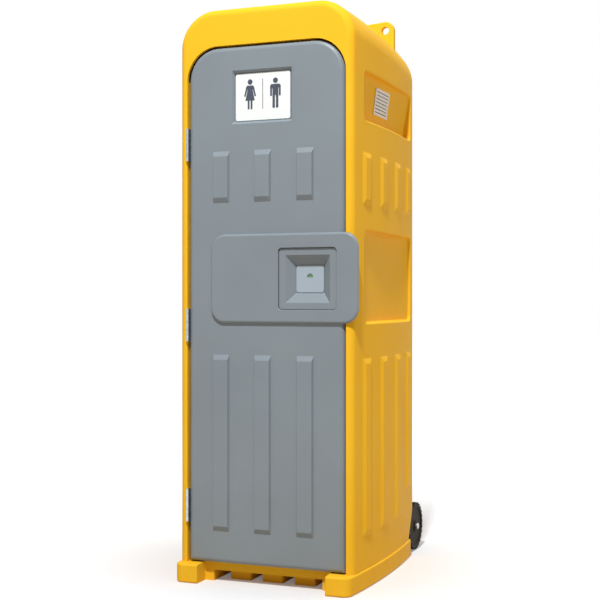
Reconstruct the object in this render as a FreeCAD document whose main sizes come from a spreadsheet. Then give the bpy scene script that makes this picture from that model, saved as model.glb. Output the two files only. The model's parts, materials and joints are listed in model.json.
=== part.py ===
import FreeCAD, Part
import os
import re
import Sketcher

# Portable toilet cabin on wheels. Millimetres, +Z up, the front faces -Y, +X is to the right of someone
# who stands in front of the door. The origin is the middle of the base, on the ground.

SIZES = {
    # Cabin shell: bowed sides, rounded roof shoulders, a rear wall that slopes in over the wheels
    "shell_half_width": 373,
    "side_arc": 3900,
    "shell_front": 363,
    "shell_rear": 480,
    "roof_height": 2214,
    "roof_fall": 46,
    "shell_wall": 6,
    "front_wall": 14,
    "shoulder_radius": 145,
    "rear_corner_radius": 50,
    "front_edge_radius": 30,
    "slope_run": 126,
    "slope_foot": "=shell_rear - slope_run",
    "slope_angle": 36.2,
    # Raised ribs, on the sides and on the door
    "rib_width": 69,
    "rib_raise": 11,
    "rib_bevel": 9,
    "rib_end": 20,
    "rib_round": 3,
    "rib_root": 4,
    "side_rib_width": 88,
    "side_rib_raise": 7,
    "side_rib_bevel": 21,
    "side_rib_margin": 137,
    "side_rib_first": "=side_rib_margin - shell_front",
    "rear_rib_margin": 135,
    "side_rib_pitch": "=(shell_rear - rear_rib_margin - side_rib_first) / 3",
    "side_rib_low": 200,
    "side_rib_last_low": 297,
    "side_rib_drop": 134,
    "side_rib_low_top": "=fold_recess_low - side_rib_drop",
    "short_rib": 197,
    "side_rib_high": "=side_rib_high_top - short_rib",
    "vent_rib_drop": 123,
    "side_rib_high_top": "=vent_recess_low - vent_rib_drop",
    "rear_rib_low": 330,
    "door_rib_x": -6,
    "door_rib_pitch": 173,
    "door_rib_low": 200,
    "door_rib_drop": 122,
    "door_rib_low_top": "=plate_low - door_rib_drop",
    "door_short_rib": 198,
    "door_rib_high": "=door_rib_high_top - door_short_rib",
    "sign_rib_drop": 205,
    "door_rib_high_top": "=sign_z - sign_rib_drop",
    # Recesses in the sides
    "recess_front_margin": 112,
    "recess_front": "=shell_front - recess_front_margin",
    "recess_rear_margin": 85,
    "recess_rear": "=shell_rear - recess_rear_margin",
    "recess_corner": 25,
    "recess_floor_round": 8,
    "recess_mouth_round": 7,
    "vent_recess_height": 185,
    "vent_recess_low": "=vent_recess_top - vent_recess_height",
    "vent_recess_drop": 259,
    "vent_recess_top": "=roof_height - vent_recess_drop",
    "vent_recess_depth_low": 53,
    "vent_recess_floor_low": "=shell_half_width - vent_recess_depth_low",
    "vent_recess_depth_top": 27,
    "vent_recess_floor_top": "=shell_half_width - vent_recess_depth_top",
    "fold_recess_height": 350,
    "fold_recess_low": "=fold_recess_top - fold_recess_height",
    "fold_recess_drop": 97,
    "fold_recess_top": "=side_rib_high - fold_recess_drop",
    "fold_front_depth": 20,
    "fold_front_floor": "=shell_half_width - fold_front_depth",
    "fold_crease_depth": 34,
    "fold_crease_floor": "=shell_half_width - fold_crease_depth",
    "fold_rear_depth": 32,
    "fold_rear_floor": "=shell_half_width - fold_rear_depth",
    "fold_rear_run": 323,
    "fold_crease": "=recess_rear - fold_rear_run",
    # Louvre vents
    "vent_setback": 353,
    "vent_centre": "=recess_rear - vent_setback",
    "vent_width": 172,
    "vent_rise": 105,
    "vent_lift": 12,
    "vent_border": 11,
    "vent_plate": 4,
    "vent_blade": 6,
    "vent_blade_inner": 3.6,
    "vent_blade_outer": 5.4,
    # Lifting lugs and the rods that carry them
    "lug_setback": 283,
    "lug_y": "=shell_rear - lug_setback",
    "lug_thick": 26,
    "lug_hole_inset": 66,
    "lug_hole_x": "=shell_half_width - lug_hole_inset",
    "lug_hole_drop": 14,
    "lug_hole_z": "=roof_height - lug_hole_drop",
    "lug_hole_radius": 16.5,
    "lug_boss_radius": 37,
    "lug_web": 200,
    "lug_inner": "=lug_hole_x - lug_web",
    "lug_crest": 110,
    "lug_dip": 9,
    "lug_toe": 50,
    "lug_depth": 110,
    "lug_edge_round": 5,
    "rod_inset": 27,
    "rod_x": "=lug_hole_x - rod_inset",
    "rod_radius": 7,
    # Base pallet
    "base_rim": 5,
    "base_half_width": "=shell_half_width + base_rim",
    "foot_reach": 45,
    "base_front": "=shell_front + foot_reach",
    "base_tail": 75,
    "base_rear": "=shell_rear - base_tail",
    "base_height": 73,
    "base_wall": 10,
    "base_deck": 12,
    "base_corner_radius": 35,
    "base_edge_round": 8,
    "foot_width": 116,
    "foot_inner": "=base_half_width - foot_width",
    "foot_ledge": 37,
    "foot_step": "=foot_inner - foot_ledge",
    "foot_setback": 33,
    "foot_back": "=shell_front - foot_setback",
    "sill_low": 42,
    "sill_thick": 15,
    "skid_width": 88,
    "skid_pitch": 134,
    "skid_setback": 50,
    "skid_front": "=foot_back - skid_setback",
    "skid_sole": 8,
    # Door and its opening
    "door_side_margin": 51,
    "door_width": "=2 * (shell_half_width - door_side_margin)",
    "door_shift": 3,
    "door_floor_gap": 3,
    "door_low": "=base_height + door_floor_gap",
    "door_head": 150,
    "door_top": "=roof_height - door_head",
    "door_thick": 45,
    "door_skin": 5,
    "door_corner_radius": 125,
    "door_edge_round": 22,
    "hinge_gap": 5.5,
    "latch_gap": 5,
    "top_gap": 4,
    "jamb_inset": 23.5,
    "jamb_reach": "=shell_half_width - jamb_inset",
    "jamb_depth": 45,
    "jamb_wall": 2.5,
    "stop_lip": 22,
    "stop_thick": 4,
    "header_height": 24,
    "seal_width": 15,
    "seal_gap": 0.4,
    # Sign
    "sign_x": -9.5,
    "sign_drop": 198,
    "sign_z": "=door_top - sign_drop",
    "sign_width": 225,
    "sign_height": 180,
    "sign_margin": 2,
    "sign_draft": 10,
    "sign_depth": 14,
    "sign_plate": 3,
    "sign_corner": 8,
    "sign_mouth_round": 3,
    "figure_offset": 52.5,
    "figure_height": 114,
    "figure_lift": 10,
    "figure_thick": 1,
    "figure_head": 10,
    # Handle plate, latch pocket and indicator
    "plate_margin": 99,
    "plate_left": "=door_shift - door_width / 2 + plate_margin",
    "plate_overhang": 9,
    "plate_right": "=shell_half_width + plate_overhang",
    "plate_height": 340,
    "plate_low": "=plate_top - plate_height",
    "plate_drop": 121,
    "plate_top": "=door_rib_high - plate_drop",
    "plate_proud": 12,
    "plate_lap": 5,
    "plate_corner_radius": 58,
    "plate_edge_round": 11,
    "plate_frame_gap": 3,
    "latch_inset": 203,
    "latch_x": "=plate_right - latch_inset",
    "latch_rise": 167,
    "latch_z": "=plate_low + latch_rise",
    "bezel_side": 233,
    "bezel_step": 7,
    "bezel_corner": 14,
    "bezel_round": 3,
    "bezel_gap": 0.5,
    "bezel_wall": 4,
    "bezel_floor": 3.5,
    "pocket_mouth": 180,
    "pocket_depth": 28,
    "cover_width": 110,
    "cover_height": 101,
    "cover_thick": 3,
    "cover_corner": 10,
    "window_width": 24,
    "window_height": 14,
    "window_rise": 21,
    "window_sink": 1,
    "field_margin": 0.5,
    "disc_radius": 32,
    "disc_pocket_radius": 35,
    "disc_thick": 1.8,
    "field_thick": 0.6,
    "disc_gap": 0.4,
    # Lock
    "spindle_drop": 8,
    "spindle_z": "=latch_z - spindle_drop",
    "spindle_radius": 4,
    "running_gap": 0.06,
    "drive_radius": 11,
    "drive_thick": 6,
    "bolt_side": 14,
    "bolt_thick": 6,
    "bolt_inset": 35,
    "bolt_offset": 16,
    "bolt_back": "=latch_x + bolt_offset",
    "bolt_gap": 0.6,
    "bolt_setback": 2,
    "drive_gap": 1,
    "case_overlap": 27,
    "case_back": "=latch_x - case_overlap",
    "case_drop": 22,
    "case_wall": 6,
    "strike_gap": 1.6,
    "strike_thick": 1.6,
    "strike_height": 90,
    "turn_radius": 24,
    "turn_base": 7,
    "turn_grip": 18,
    "turn_bar": 12,
    "turn_round": 4,
    # Pull and coat hook inside the door
    "pull_height": 180,
    "pull_bar": 18,
    "pull_round": 6,
    "pull_reach": 42,
    "pull_offset": 99,
    "pull_x": "=latch_x - pull_offset",
    "pull_drop": 130,
    "pull_low": "=latch_z - pull_drop",
    "hook_margin": 189,
    "hook_x": "=door_shift - door_width / 2 + hook_margin",
    "hook_drop": 126,
    "hook_z": "=sign_z - hook_drop",
    "hook_plate_width": 28,
    "hook_plate_height": 50,
    "hook_plate_thick": 4,
    "hook_bar_radius": 5,
    "hook_reach": 30,
    "hook_rise": 16,
    # Hinges
    "hinge_low": 293,
    "hinge_head": 371,
    "hinge_pitch": "=(door_top - hinge_head - hinge_low) / 2",
    "hinge_length": 126,
    "hinge_leaf": 2.5,
    "leaf_depth": 30,
    "knuckle_radius": 5.5,
    "knuckle_gap": 0.5,
    "pin_radius": 3,
    "hinge_proud": 5,
    # Floor, tank, seat and lid
    "mat_thick": 4,
    "mat_margin": 29,
    "mat_half_width": "=shell_half_width - mat_margin",
    "mat_front_margin": 73,
    "mat_front": "=shell_front - mat_front_margin",
    "mat_gap": 2,
    "tank_margin": 100,
    "tank_half_width": "=shell_half_width - tank_margin",
    "tank_reach": 190,
    "tank_front": "=seat_y - tank_reach",
    "tank_foot_gap": 19,
    "tank_foot_rear": "=slope_foot - tank_foot_gap",
    "tank_rear_gap": 15,
    "tank_rear": "=shell_rear - tank_rear_gap",
    "tank_step": 265,
    "tank_height": 470,
    "tank_wall": 6,
    "tank_round": 18,
    "seat_setback": 222,
    "seat_y": "=lid_hinge_y - seat_setback",
    "seat_half_length": 215,
    "seat_half_width": 182,
    "hole_half_length": 140,
    "hole_half_width": 105,
    "seat_thick": 22,
    "lid_thick": 14,
    "lid_gap": 1,
    "lid_edge_round": 6,
    "lid_hinge_margin": 53,
    "lid_hinge_y": "=tank_rear - lid_hinge_margin",
    "lid_barrel_radius": 9,
    "lid_barrel_half": 60,
    "lid_pin_radius": 4,
    "lid_ear": 16,
    "lid_side_gap": 1,
    "pipe_margin": 39,
    "pipe_x": "=pipe_margin - tank_half_width",
    "pipe_setback": 50,
    "pipe_y": "=tank_rear - pipe_setback",
    "pipe_radius": 27.5,
    "pipe_wall": 3,
    "pipe_rise": 40,
    "pipe_top": "=roof_height - roof_fall + pipe_rise",
    "cowl_radius": 58,
    "cowl_height": 32,
    # Paper holder
    "paper_setback": 30,
    "paper_y": "=tank_front + paper_setback",
    "paper_rise": 290,
    "paper_z": "=tank_height + paper_rise",
    "paper_radius": 55,
    "paper_length": 96,
    "core_radius": 20,
    "holder_offset": 74,
    "holder_arm": 5,
    "holder_side_gap": 2,
    "holder_plate": 130,
    "holder_plate_thick": 12,
    "holder_bond": 1,
    # Axle and wheels
    "axle_reach": 110,
    "axle_y": "=base_rear + axle_reach",
    "wheel_lift": 2,
    "axle_z": "=wheel_radius + wheel_lift",
    "axle_radius": 10,
    "wheel_radius": 102,
    "wheel_inset": 34,
    "wheel_outer": "=base_half_width - wheel_inset",
    "tread_width": 44,
    "tread_round": 7,
    "rim_radius": 88,
    "hub_radius": 24,
    "web_thick": 36,
    "hub_flare": 4,
    "rim_lip": 6,
    "rim_flare": 4,
    "wheel_gap": 1,
    "cap_radius": 13,
    "cap_length": 9,
    "cap_taper": 3,
    "bracket_inset": 74,
    "bracket_x": "=wheel_outer - bracket_inset",
    "bracket_thick": 8,
    "bracket_flange": 60,
    "bracket_drop": 56,
    "bracket_low": "=axle_z - bracket_drop",
    "bracket_top": "=axle_z + bracket_reach",
    "bracket_reach": 22,
    "bracket_round": 20,
    "bolt_head_radius": 8,
    "bolt_head": 6,
    # How far a cutting tool runs past what it cuts
    "cut_spare": 20,
}

doc = FreeCAD.newDocument("toilet_cabin")
sheet = doc.addObject("Spreadsheet::Sheet", "Sheet")
for row, alias in enumerate(SIZES, 1):
    sheet.set(f"A{row}", alias)
    sheet.setAlias(f"B{row}", alias)
for row, content in enumerate(SIZES.values(), 1):
    sheet.set(f"B{row}", str(content))
doc.recompute()

nodes = []


def size(alias):
    return float(sheet.get(alias))


def cells(formula):
    """A formula with each size's name turned into its cell."""
    return re.sub(r"[a-z][a-z_]+", lambda m: "Sheet." + m[0] if m[0] in SIZES else m[0], str(formula))


def bind(thing, **formulas):
    for prop, formula in formulas.items():
        thing.setExpression(prop.replace("__", "."), cells(formula))
    return thing


def move(thing, x=0, y=0, z=0):
    return bind(thing, Placement__Base__x=x, Placement__Base__y=y, Placement__Base__z=z)


def node(name, thing):
    """Keep a finished piece under its own label."""
    thing.Label = name
    nodes.append(thing)
    return thing


# Shapes that every piece is made from

def box(name, x, y, z):
    solid = doc.addObject("Part::Box", name)
    sides = {"Length": x, "Width": y, "Height": z}
    bind(solid, **{side: f"({high}) - ({low})" for side, (low, high) in sides.items()})
    return move(solid, x[0], y[0], z[0])


TURNS = {
    "X": FreeCAD.Rotation(FreeCAD.Vector(0, 1, 0), 90),
    "Y": FreeCAD.Rotation(FreeCAD.Vector(1, 0, 0), -90),
    "Z": FreeCAD.Rotation(),
}


def rod(name, axis, start, radius, length):
    solid = doc.addObject("Part::Cylinder", name)
    solid.Placement.Rotation = TURNS[axis]
    bind(solid, Radius=radius, Height=length)
    return move(solid, *start)


def cut(name, base, *tools):
    solid = doc.addObject("Part::Cut", name)
    solid.Base = base
    solid.Tool = tools[0] if len(tools) == 1 else fuse(name + "_tools", *tools)
    return solid


def fuse(name, *parts):
    solid = doc.addObject("Part::MultiFuse", name)
    solid.Shapes = list(parts)
    solid.Refine = True
    return solid


def common(name, first, second):
    solid = doc.addObject("Part::Common", name)
    solid.Base = first
    solid.Tool = second
    return solid


def group(name, *parts):
    several = doc.addObject("Part::Compound", name)
    several.Links = list(parts)
    return several


def mirrored(name, thing):
    other = doc.addObject("Part::Mirroring", name)
    other.Source = thing
    other.Normal = FreeCAD.Vector(1, 0, 0)
    return other


def rounded(name, base, *picks):
    """Round the edges that each (radius, test) pair picks."""
    doc.recompute()
    solid = doc.addObject("Part::Fillet", name)
    solid.Base = base
    edges = []
    for number, edge in enumerate(base.Shape.Edges, 1):
        for radius, test in picks:
            if test(edge):
                edges.append((number, radius, radius))
                break
    solid.Edges = edges
    return solid


TOUCH = 0.01


def lies_at(edge, axis, place):
    low = getattr(edge.BoundBox, axis + "Min")
    high = getattr(edge.BoundBox, axis + "Max")
    return abs(low - place) < TOUCH and abs(high - place) < TOUCH


def runs_along(edge, axis):
    return all(getattr(edge.BoundBox, other + "Length") < TOUCH for other in "XYZ" if other != axis)


def polygon(body, plane, points, offset):
    """A closed sketch whose corners are tied to formulas."""
    outline = body.newObject("Sketcher::SketchObject", body.Name + "_outline")
    origin_plane = next(f for f in body.Origin.OriginFeatures if f.Role == plane)
    outline.AttachmentSupport = [(origin_plane, "")]
    outline.MapMode = "FlatFace"
    bind(outline, AttachmentOffset__Base__z=offset)
    probe = doc.addObject("App::FeaturePython", "Probe")
    probe.addProperty("App::PropertyFloat", "Across")
    probe.addProperty("App::PropertyFloat", "Up")
    corners = []
    for across, up in points:
        bind(probe, Across=across, Up=up)
        doc.recompute([probe])
        corners.append(FreeCAD.Vector(probe.Across, probe.Up, 0))
    doc.removeObject(probe.Name)
    count = len(corners)
    for index in range(count):
        outline.addGeometry(Part.LineSegment(corners[index], corners[(index + 1) % count]))
    for index in range(count):
        outline.addConstraint(Sketcher.Constraint("Coincident", index, 2, (index + 1) % count, 1))
    for index, (across, up) in enumerate(points):
        ties = (("DistanceX", across, corners[index].x), ("DistanceY", up, corners[index].y))
        for kind, formula, value in ties:
            held = outline.addConstraint(Sketcher.Constraint(kind, -1, 1, index, 1, value))
            outline.setExpression(f"Constraints[{held}]", cells(formula))
    return outline


def padded(name, plane, points, low, high):
    """A polygon in an origin plane, padded from low to high along the plane's axis."""
    body = doc.addObject("PartDesign::Body", name)
    start = f"-({high})" if plane == "XZ_Plane" else low
    outline = polygon(body, plane, points, start)
    pad = body.newObject("PartDesign::Pad", name + "_pad")
    pad.Profile = outline
    bind(pad, Length=f"({high}) - ({low})")
    return body


def turned(name, points):
    """A profile of (along X, radius) corners turned about the X axis."""
    body = doc.addObject("PartDesign::Body", name)
    outline = polygon(body, "XZ_Plane", points, 0)
    sweep = body.newObject("PartDesign::Revolution", name + "_turn")
    sweep.Profile = outline
    sweep.ReferenceAxis = (outline, ["H_Axis"])
    sweep.Angle = 360
    return body


def oval(name, half_width, half_length, y, z, thick):
    ring = doc.addObject("Part::Ellipse", name + "_outline")
    ring.Placement.Rotation = FreeCAD.Rotation(FreeCAD.Vector(0, 0, 1), 90)
    bind(ring, MajorRadius=half_length, MinorRadius=half_width)
    move(ring, 0, y, z)
    solid = doc.addObject("Part::Extrusion", name)
    solid.Base = ring
    solid.DirMode = "Custom"
    solid.Dir = FreeCAD.Vector(0, 0, 1)
    solid.Solid = True
    bind(solid, LengthFwd=thick)
    return solid


def rib(name, height, angle, kind=""):
    """A bevelled rib that rises from its root, which lies below the surface it stands on."""
    width, raised, bevel = f"{kind}rib_width", f"{kind}rib_raise", f"{kind}rib_bevel"
    foot = f"({width} / 2 + {bevel} * rib_root / {raised})"
    crest = f"({width} / 2 - {bevel})"
    toe = f"rib_end * rib_root / {raised}"
    solid = doc.addObject("Part::Wedge", name + "_block")
    solid.Placement.Rotation = FreeCAD.Rotation(FreeCAD.Vector(0, 0, 1), angle)
    bind(solid, Xmin=f"-{foot}", Xmax=foot, X2min=f"-{crest}", X2max=crest, Zmin=f"-{toe}",
         Zmax=f"{height} + {toe}", Z2min="rib_end", Z2max=f"{height} - rib_end", Ymin="-rib_root", Ymax=raised)
    return solid


def soft_rib(name, block):
    """The rib with soft edges everywhere but at the root."""
    doc.recompute()
    root = max(block.Shape.Faces, key=lambda face: face.Area)
    at_root = [edge.hashCode() for edge in root.Edges]
    return rounded(name, block, (size("rib_round"), lambda edge: edge.hashCode() not in at_root))


# Cabin shell

def wall_at(y):
    """How far the outer side wall stands from the middle, at a place along Y."""
    return f"(shell_half_width - side_arc + sqrt(side_arc^2 - ({y})^2))"


def bowed_block(name, half_width, arc, y, z):
    """A block whose two sides bow outwards."""
    block = box(name + "_block", (f"-({half_width})", half_width), y, z)
    for side, sign in (("right", -1), ("left", 1)):
        drum = rod(f"{name}_{side}_bow", "Z", (f"{sign} * (({arc}) - ({half_width}))", 0, z[0]),
                   arc, f"({z[1]}) - ({z[0]})")
        drum.Placement.Rotation = FreeCAD.Rotation(FreeCAD.Vector(0, 0, 1), 90)
        block = common(f"{name}_{side}_side", block, drum)
    return block


def cabin_form(name, inset, front_inset, low):
    """The cabin's outer form, or the same form a wall further in. The roof falls toward the rear."""
    front = f"-shell_front + {front_inset}"
    rear = f"shell_rear - {inset}"
    block = bowed_block(name, f"shell_half_width - {inset}", f"side_arc - {inset}", (front, rear),
                        (low, "roof_height + cut_spare"))
    slope = box(name + "_slope", ("-base_half_width", "base_half_width"),
                (0, "shell_rear"), (0, "shell_rear"))
    slope.Placement.Rotation = FreeCAD.Rotation(FreeCAD.Vector(1, 0, 0), -size("slope_angle"))
    reach = "cut_spare * 2"
    move(slope, "-base_half_width",
         f"slope_foot - {inset} * cos(slope_angle * 1 deg) - {reach} * sin(slope_angle * 1 deg)",
         f"base_height + {inset} * sin(slope_angle * 1 deg) - {reach} * cos(slope_angle * 1 deg)")
    pitch = "atan(roof_fall / (shell_front + shell_rear))"
    sky = box(name + "_sky", ("-base_half_width", "base_half_width"),
              (0, f"shell_front + shell_rear + 2 * {reach}"), (0, f"roof_fall + {reach}"))
    sky.Placement.Rotation = FreeCAD.Rotation(FreeCAD.Vector(-1, 0, 0), 1)
    bind(sky, Placement__Rotation__Angle=pitch)
    move(sky, "-base_half_width", f"-shell_front - {reach} * cos({pitch})",
         f"roof_height - {inset} / cos({pitch}) + {reach} * sin({pitch})")
    return cut(name + "_sloped", block, slope, sky)


def shoulders(name, form, inset, front_inset):
    eaves = size("roof_height") - size("roof_fall") - inset - 1
    rear = size("shell_rear") - inset
    front = -size("shell_front") + front_inset
    return rounded(
        name, form,
        (size("shoulder_radius") - inset, lambda e: e.BoundBox.ZMin > eaves and not lies_at(e, "Y", front)),
        (size("rear_corner_radius") - inset, lambda e: runs_along(e, "Z") and lies_at(e, "Y", rear)))


def vent_recess(name, grow):
    points = [
        ("shell_half_width + cut_spare", f"vent_recess_low - {grow}"),
        (f"vent_recess_floor_low - {grow}", f"vent_recess_low - {grow}"),
        (f"vent_recess_floor_top - {grow}", f"vent_recess_top + {grow}"),
        ("shell_half_width + cut_spare", f"vent_recess_top + {grow}"),
    ]
    return padded(name, "XZ_Plane", points, f"-recess_front - {grow}", f"recess_rear + {grow}")


def fold_recess(name, grow):
    points = [
        ("shell_half_width + cut_spare", f"-recess_front - {grow}"),
        ("shell_half_width + cut_spare", f"recess_rear + {grow}"),
        (f"fold_rear_floor - {grow}", f"recess_rear + {grow}"),
        (f"fold_crease_floor - {grow}", "fold_crease"),
        (f"fold_front_floor - {grow}", f"-recess_front - {grow}"),
    ]
    return padded(name, "XY_Plane", points, f"fold_recess_low - {grow}", f"fold_recess_top + {grow}")


def soft_recess(name, tool):
    """The recess's mould: round corners, and a soft edge round its floor."""
    outside = size("shell_half_width") + size("cut_spare")
    corners = rounded(name + "_corners", tool, (size("recess_corner"), lambda e: runs_along(e, "X")))
    doc.recompute()
    return rounded(name, corners, (
        size("recess_floor_round"),
        lambda e: e.BoundBox.XMax < outside - TOUCH and not runs_along(e, "Z")))


def side_ribs():
    ribs = []
    for column in range(4):
        y = f"(side_rib_first + {column} * side_rib_pitch)"
        lowest = "side_rib_last_low" if column == 3 else "side_rib_low"
        rows = {"low": (lowest, "side_rib_low_top"), "high": ("side_rib_high", "side_rib_high_top")}
        for row_name, (low, top) in rows.items():
            name = f"side_rib_{row_name}_{column + 1}"
            block = rib(name, f"({top} - {low})", -90, "side_")
            bind(block, Placement__Rotation__Angle=f"asin({y} / side_arc) - 90 deg")
            move(block, wall_at(y), y, low)
            ribs.append(soft_rib(name, block))
    return ribs


def rear_ribs():
    ribs = []
    rows = {"low": ("rear_rib_low", "side_rib_low_top"), "high": ("side_rib_high", "side_rib_high_top")}
    for row_name, (low, top) in rows.items():
        for column in (-1, 0, 1):
            name = f"rear_rib_{row_name}_{column + 2}"
            block = rib(name, f"({top} - {low})", 0, "side_")
            ribs.append(soft_rib(name, move(block, f"{column} * side_rib_pitch", "shell_rear", low)))
    return ribs


OPENING_LEFT = "(door_shift - door_width / 2 - hinge_gap)"
OPENING_RIGHT = "(door_shift + door_width / 2 + latch_gap)"
OPENING_TOP = "(door_top + top_gap)"
DOOR_LEFT = "(door_shift - door_width / 2)"
DOOR_RIGHT = "(door_shift + door_width / 2)"
DOOR_FRONT = "(-shell_front)"
DOOR_BACK = "(-shell_front + door_thick)"


def vent_point(along, out):
    """A point of the louvre vent's section: along its tilted face, and out from the recess floor."""
    run = "(vent_recess_floor_top - vent_recess_floor_low)"
    rise = "(vent_recess_top - vent_recess_low)"
    slant = f"sqrt({run}^2 + {rise}^2)"
    middle_x = "(vent_recess_floor_top + vent_recess_floor_low) / 2"
    middle_z = "(vent_recess_top + vent_recess_low) / 2"
    up = f"({along} + vent_lift)"
    return (f"{middle_x} + ({up} * {run} + ({out}) * {rise}) / {slant}",
            f"{middle_z} + ({up} * {rise} - ({out}) * {run}) / {slant}")


def vent_slab(name, half_rise, inner, outer, half_width):
    points = [vent_point(f"-({half_rise})", inner), vent_point(half_rise, inner),
              vent_point(half_rise, outer), vent_point(f"-({half_rise})", outer)]
    return padded(name, "XZ_Plane", points, f"vent_centre - ({half_width})", f"vent_centre + ({half_width})")


VENT_HALF_RISE = "(vent_rise / 2 - vent_border)"
VENT_HALF_WIDTH = "(vent_width / 2 - vent_border)"


def bounds_side_recess(edge):
    """Whether an edge runs round the mouth of a recess, on the bowed face of a side wall."""
    arc = size("side_arc")
    middle = size("shell_half_width") - arc
    rows = [(size(f"{name}_recess_low"), size(f"{name}_recess_top")) for name in ("vent", "fold")]
    start, end = edge.ParameterRange
    for place in (start, (start + end) / 2, end):
        spot = edge.valueAt(place)
        in_row = any(low - TOUCH < spot.z < top + TOUCH for low, top in rows)
        on_wall = abs(abs(spot.x) - middle - (arc ** 2 - spot.y ** 2) ** 0.5) < TOUCH
        if not (in_row and on_wall):
            return False
    return True


def make_shell():
    outer = shoulders("outer_shoulders", cabin_form("outer", "0", "0", "base_height"), 0, 0)
    doc.recompute()
    front = -size("shell_front")
    foot = size("base_height")
    outer = rounded("outer_form", outer, (
        size("front_edge_radius"), lambda e: lies_at(e, "Y", front) and not lies_at(e, "Z", foot)))
    inner = cabin_form("inner", "shell_wall", "front_wall", "base_height - cut_spare")
    inner = shoulders("inner_form", inner, size("shell_wall"), size("front_wall"))
    right_ribs = fuse("right_ribs", *side_ribs())
    skin = fuse("ribbed_form", outer, right_ribs, mirrored("left_ribs", right_ribs), *rear_ribs())
    recesses = [soft_recess("vent_recess", vent_recess("vent_recess_block", "0")),
                soft_recess("fold_recess", fold_recess("fold_recess_block", "0"))]
    backs = [vent_recess("vent_recess_back", "shell_wall"), fold_recess("fold_recess_back", "shell_wall")]
    window = vent_slab("vent_window", f"{VENT_HALF_RISE} + vent_border / 2", "-shell_wall - cut_spare",
                       "cut_spare", f"{VENT_HALF_WIDTH} + vent_border / 2")
    both_recesses = fuse("right_recesses", *recesses)
    both_backs = fuse("right_backs", *backs)
    skin = cut("recessed_form", skin, both_recesses, mirrored("left_recesses", both_recesses))
    skin = rounded("soft_form", skin, (size("recess_mouth_round"), bounds_side_recess))
    hollow = cut("cabin_hollow", inner, both_backs, mirrored("left_backs", both_backs))
    opening = box("door_opening", (OPENING_LEFT, OPENING_RIGHT),
                  ("-shell_front - cut_spare", "-shell_front + front_wall + cut_spare"),
                  ("base_height - cut_spare", OPENING_TOP))
    doc.recompute()
    top = size("door_top") + size("top_gap")
    opening = rounded("door_opening_round", opening, (
        size("door_corner_radius") + size("top_gap"),
        lambda e: runs_along(e, "Y") and lies_at(e, "Z", top)))
    stack = rod("pipe_hole", "Z", ("pipe_x", "pipe_y", "roof_height - shoulder_radius"),
                "pipe_radius + running_gap", "shoulder_radius + cut_spare")
    shell = cut("shell", skin, hollow, opening, window, mirrored("left_vent_window", window), stack)
    node("cabin_shell", shell)
    return outer, inner


def make_vents():
    frame = cut("vent_frame",
                vent_slab("vent_plate_block", "vent_rise / 2", "0", "vent_plate", "vent_width / 2"),
                vent_slab("vent_gap", VENT_HALF_RISE, "-cut_spare", "cut_spare", VENT_HALF_WIDTH))
    blades = []
    count = 9
    reach = f"({VENT_HALF_WIDTH} + vent_border / 4)"
    for index in range(count):
        low = f"(-{VENT_HALF_RISE} + {index} * 2 * {VENT_HALF_RISE} / {count})"
        points = [vent_point(f"{low} + vent_blade_outer", "-vent_blade_inner"),
                  vent_point(f"{low} + vent_blade_outer + vent_blade", "-vent_blade_inner"),
                  vent_point(f"{low} + vent_blade", "vent_blade_outer"),
                  vent_point(low, "vent_blade_outer")]
        blades.append(padded(f"vent_blade_{index + 1}", "XZ_Plane", points,
                             f"vent_centre - {reach}", f"vent_centre + {reach}"))
    right = node("vent_grille_right", fuse("right_vent", frame, *blades))
    node("vent_grille_left", mirrored("left_vent", right))


def make_lugs(outer, inner):
    y = ("lug_y - lug_thick / 2", "lug_y + lug_thick / 2")
    points = [
        ("lug_hole_x + lug_boss_radius", "lug_hole_z - lug_depth"),
        ("lug_hole_x + lug_boss_radius", "lug_hole_z"),
        ("lug_hole_x", "lug_hole_z + lug_boss_radius"),
        ("lug_hole_x - lug_crest", "lug_hole_z + lug_boss_radius - lug_dip"),
        ("lug_inner", "lug_hole_z - lug_toe"),
        ("lug_inner", "lug_hole_z - lug_depth"),
    ]
    web = padded("lug_web", "XZ_Plane", points, *y)
    boss = rod("lug_boss", "Y", ("lug_hole_x", y[0], "lug_hole_z"), "lug_boss_radius", "lug_thick")
    block = fuse("lug_block", web, boss)
    doc.recompute()
    block = rounded("lug_soft", block, (size("lug_edge_round"), lambda e: (
        e.BoundBox.YLength < TOUCH and e.BoundBox.ZMax > size("roof_height") + TOUCH)))
    eye = rod("lug_eye", "Y", ("lug_hole_x", "lug_y - lug_thick", "lug_hole_z"), "lug_hole_radius",
              "lug_thick * 2")
    right = node("lifting_lug_right", cut("right_lug", block, outer, eye))
    node("lifting_lug_left", mirrored("left_lug", right))
    bar = rod("rod_bar", "Z", ("rod_x", "lug_y", "base_height"), "rod_radius", "roof_height")
    right = node("lifting_rod_right", common("right_rod", bar, inner))
    node("lifting_rod_left", mirrored("left_rod", right))


# Base pallet, floor and running gear

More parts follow.
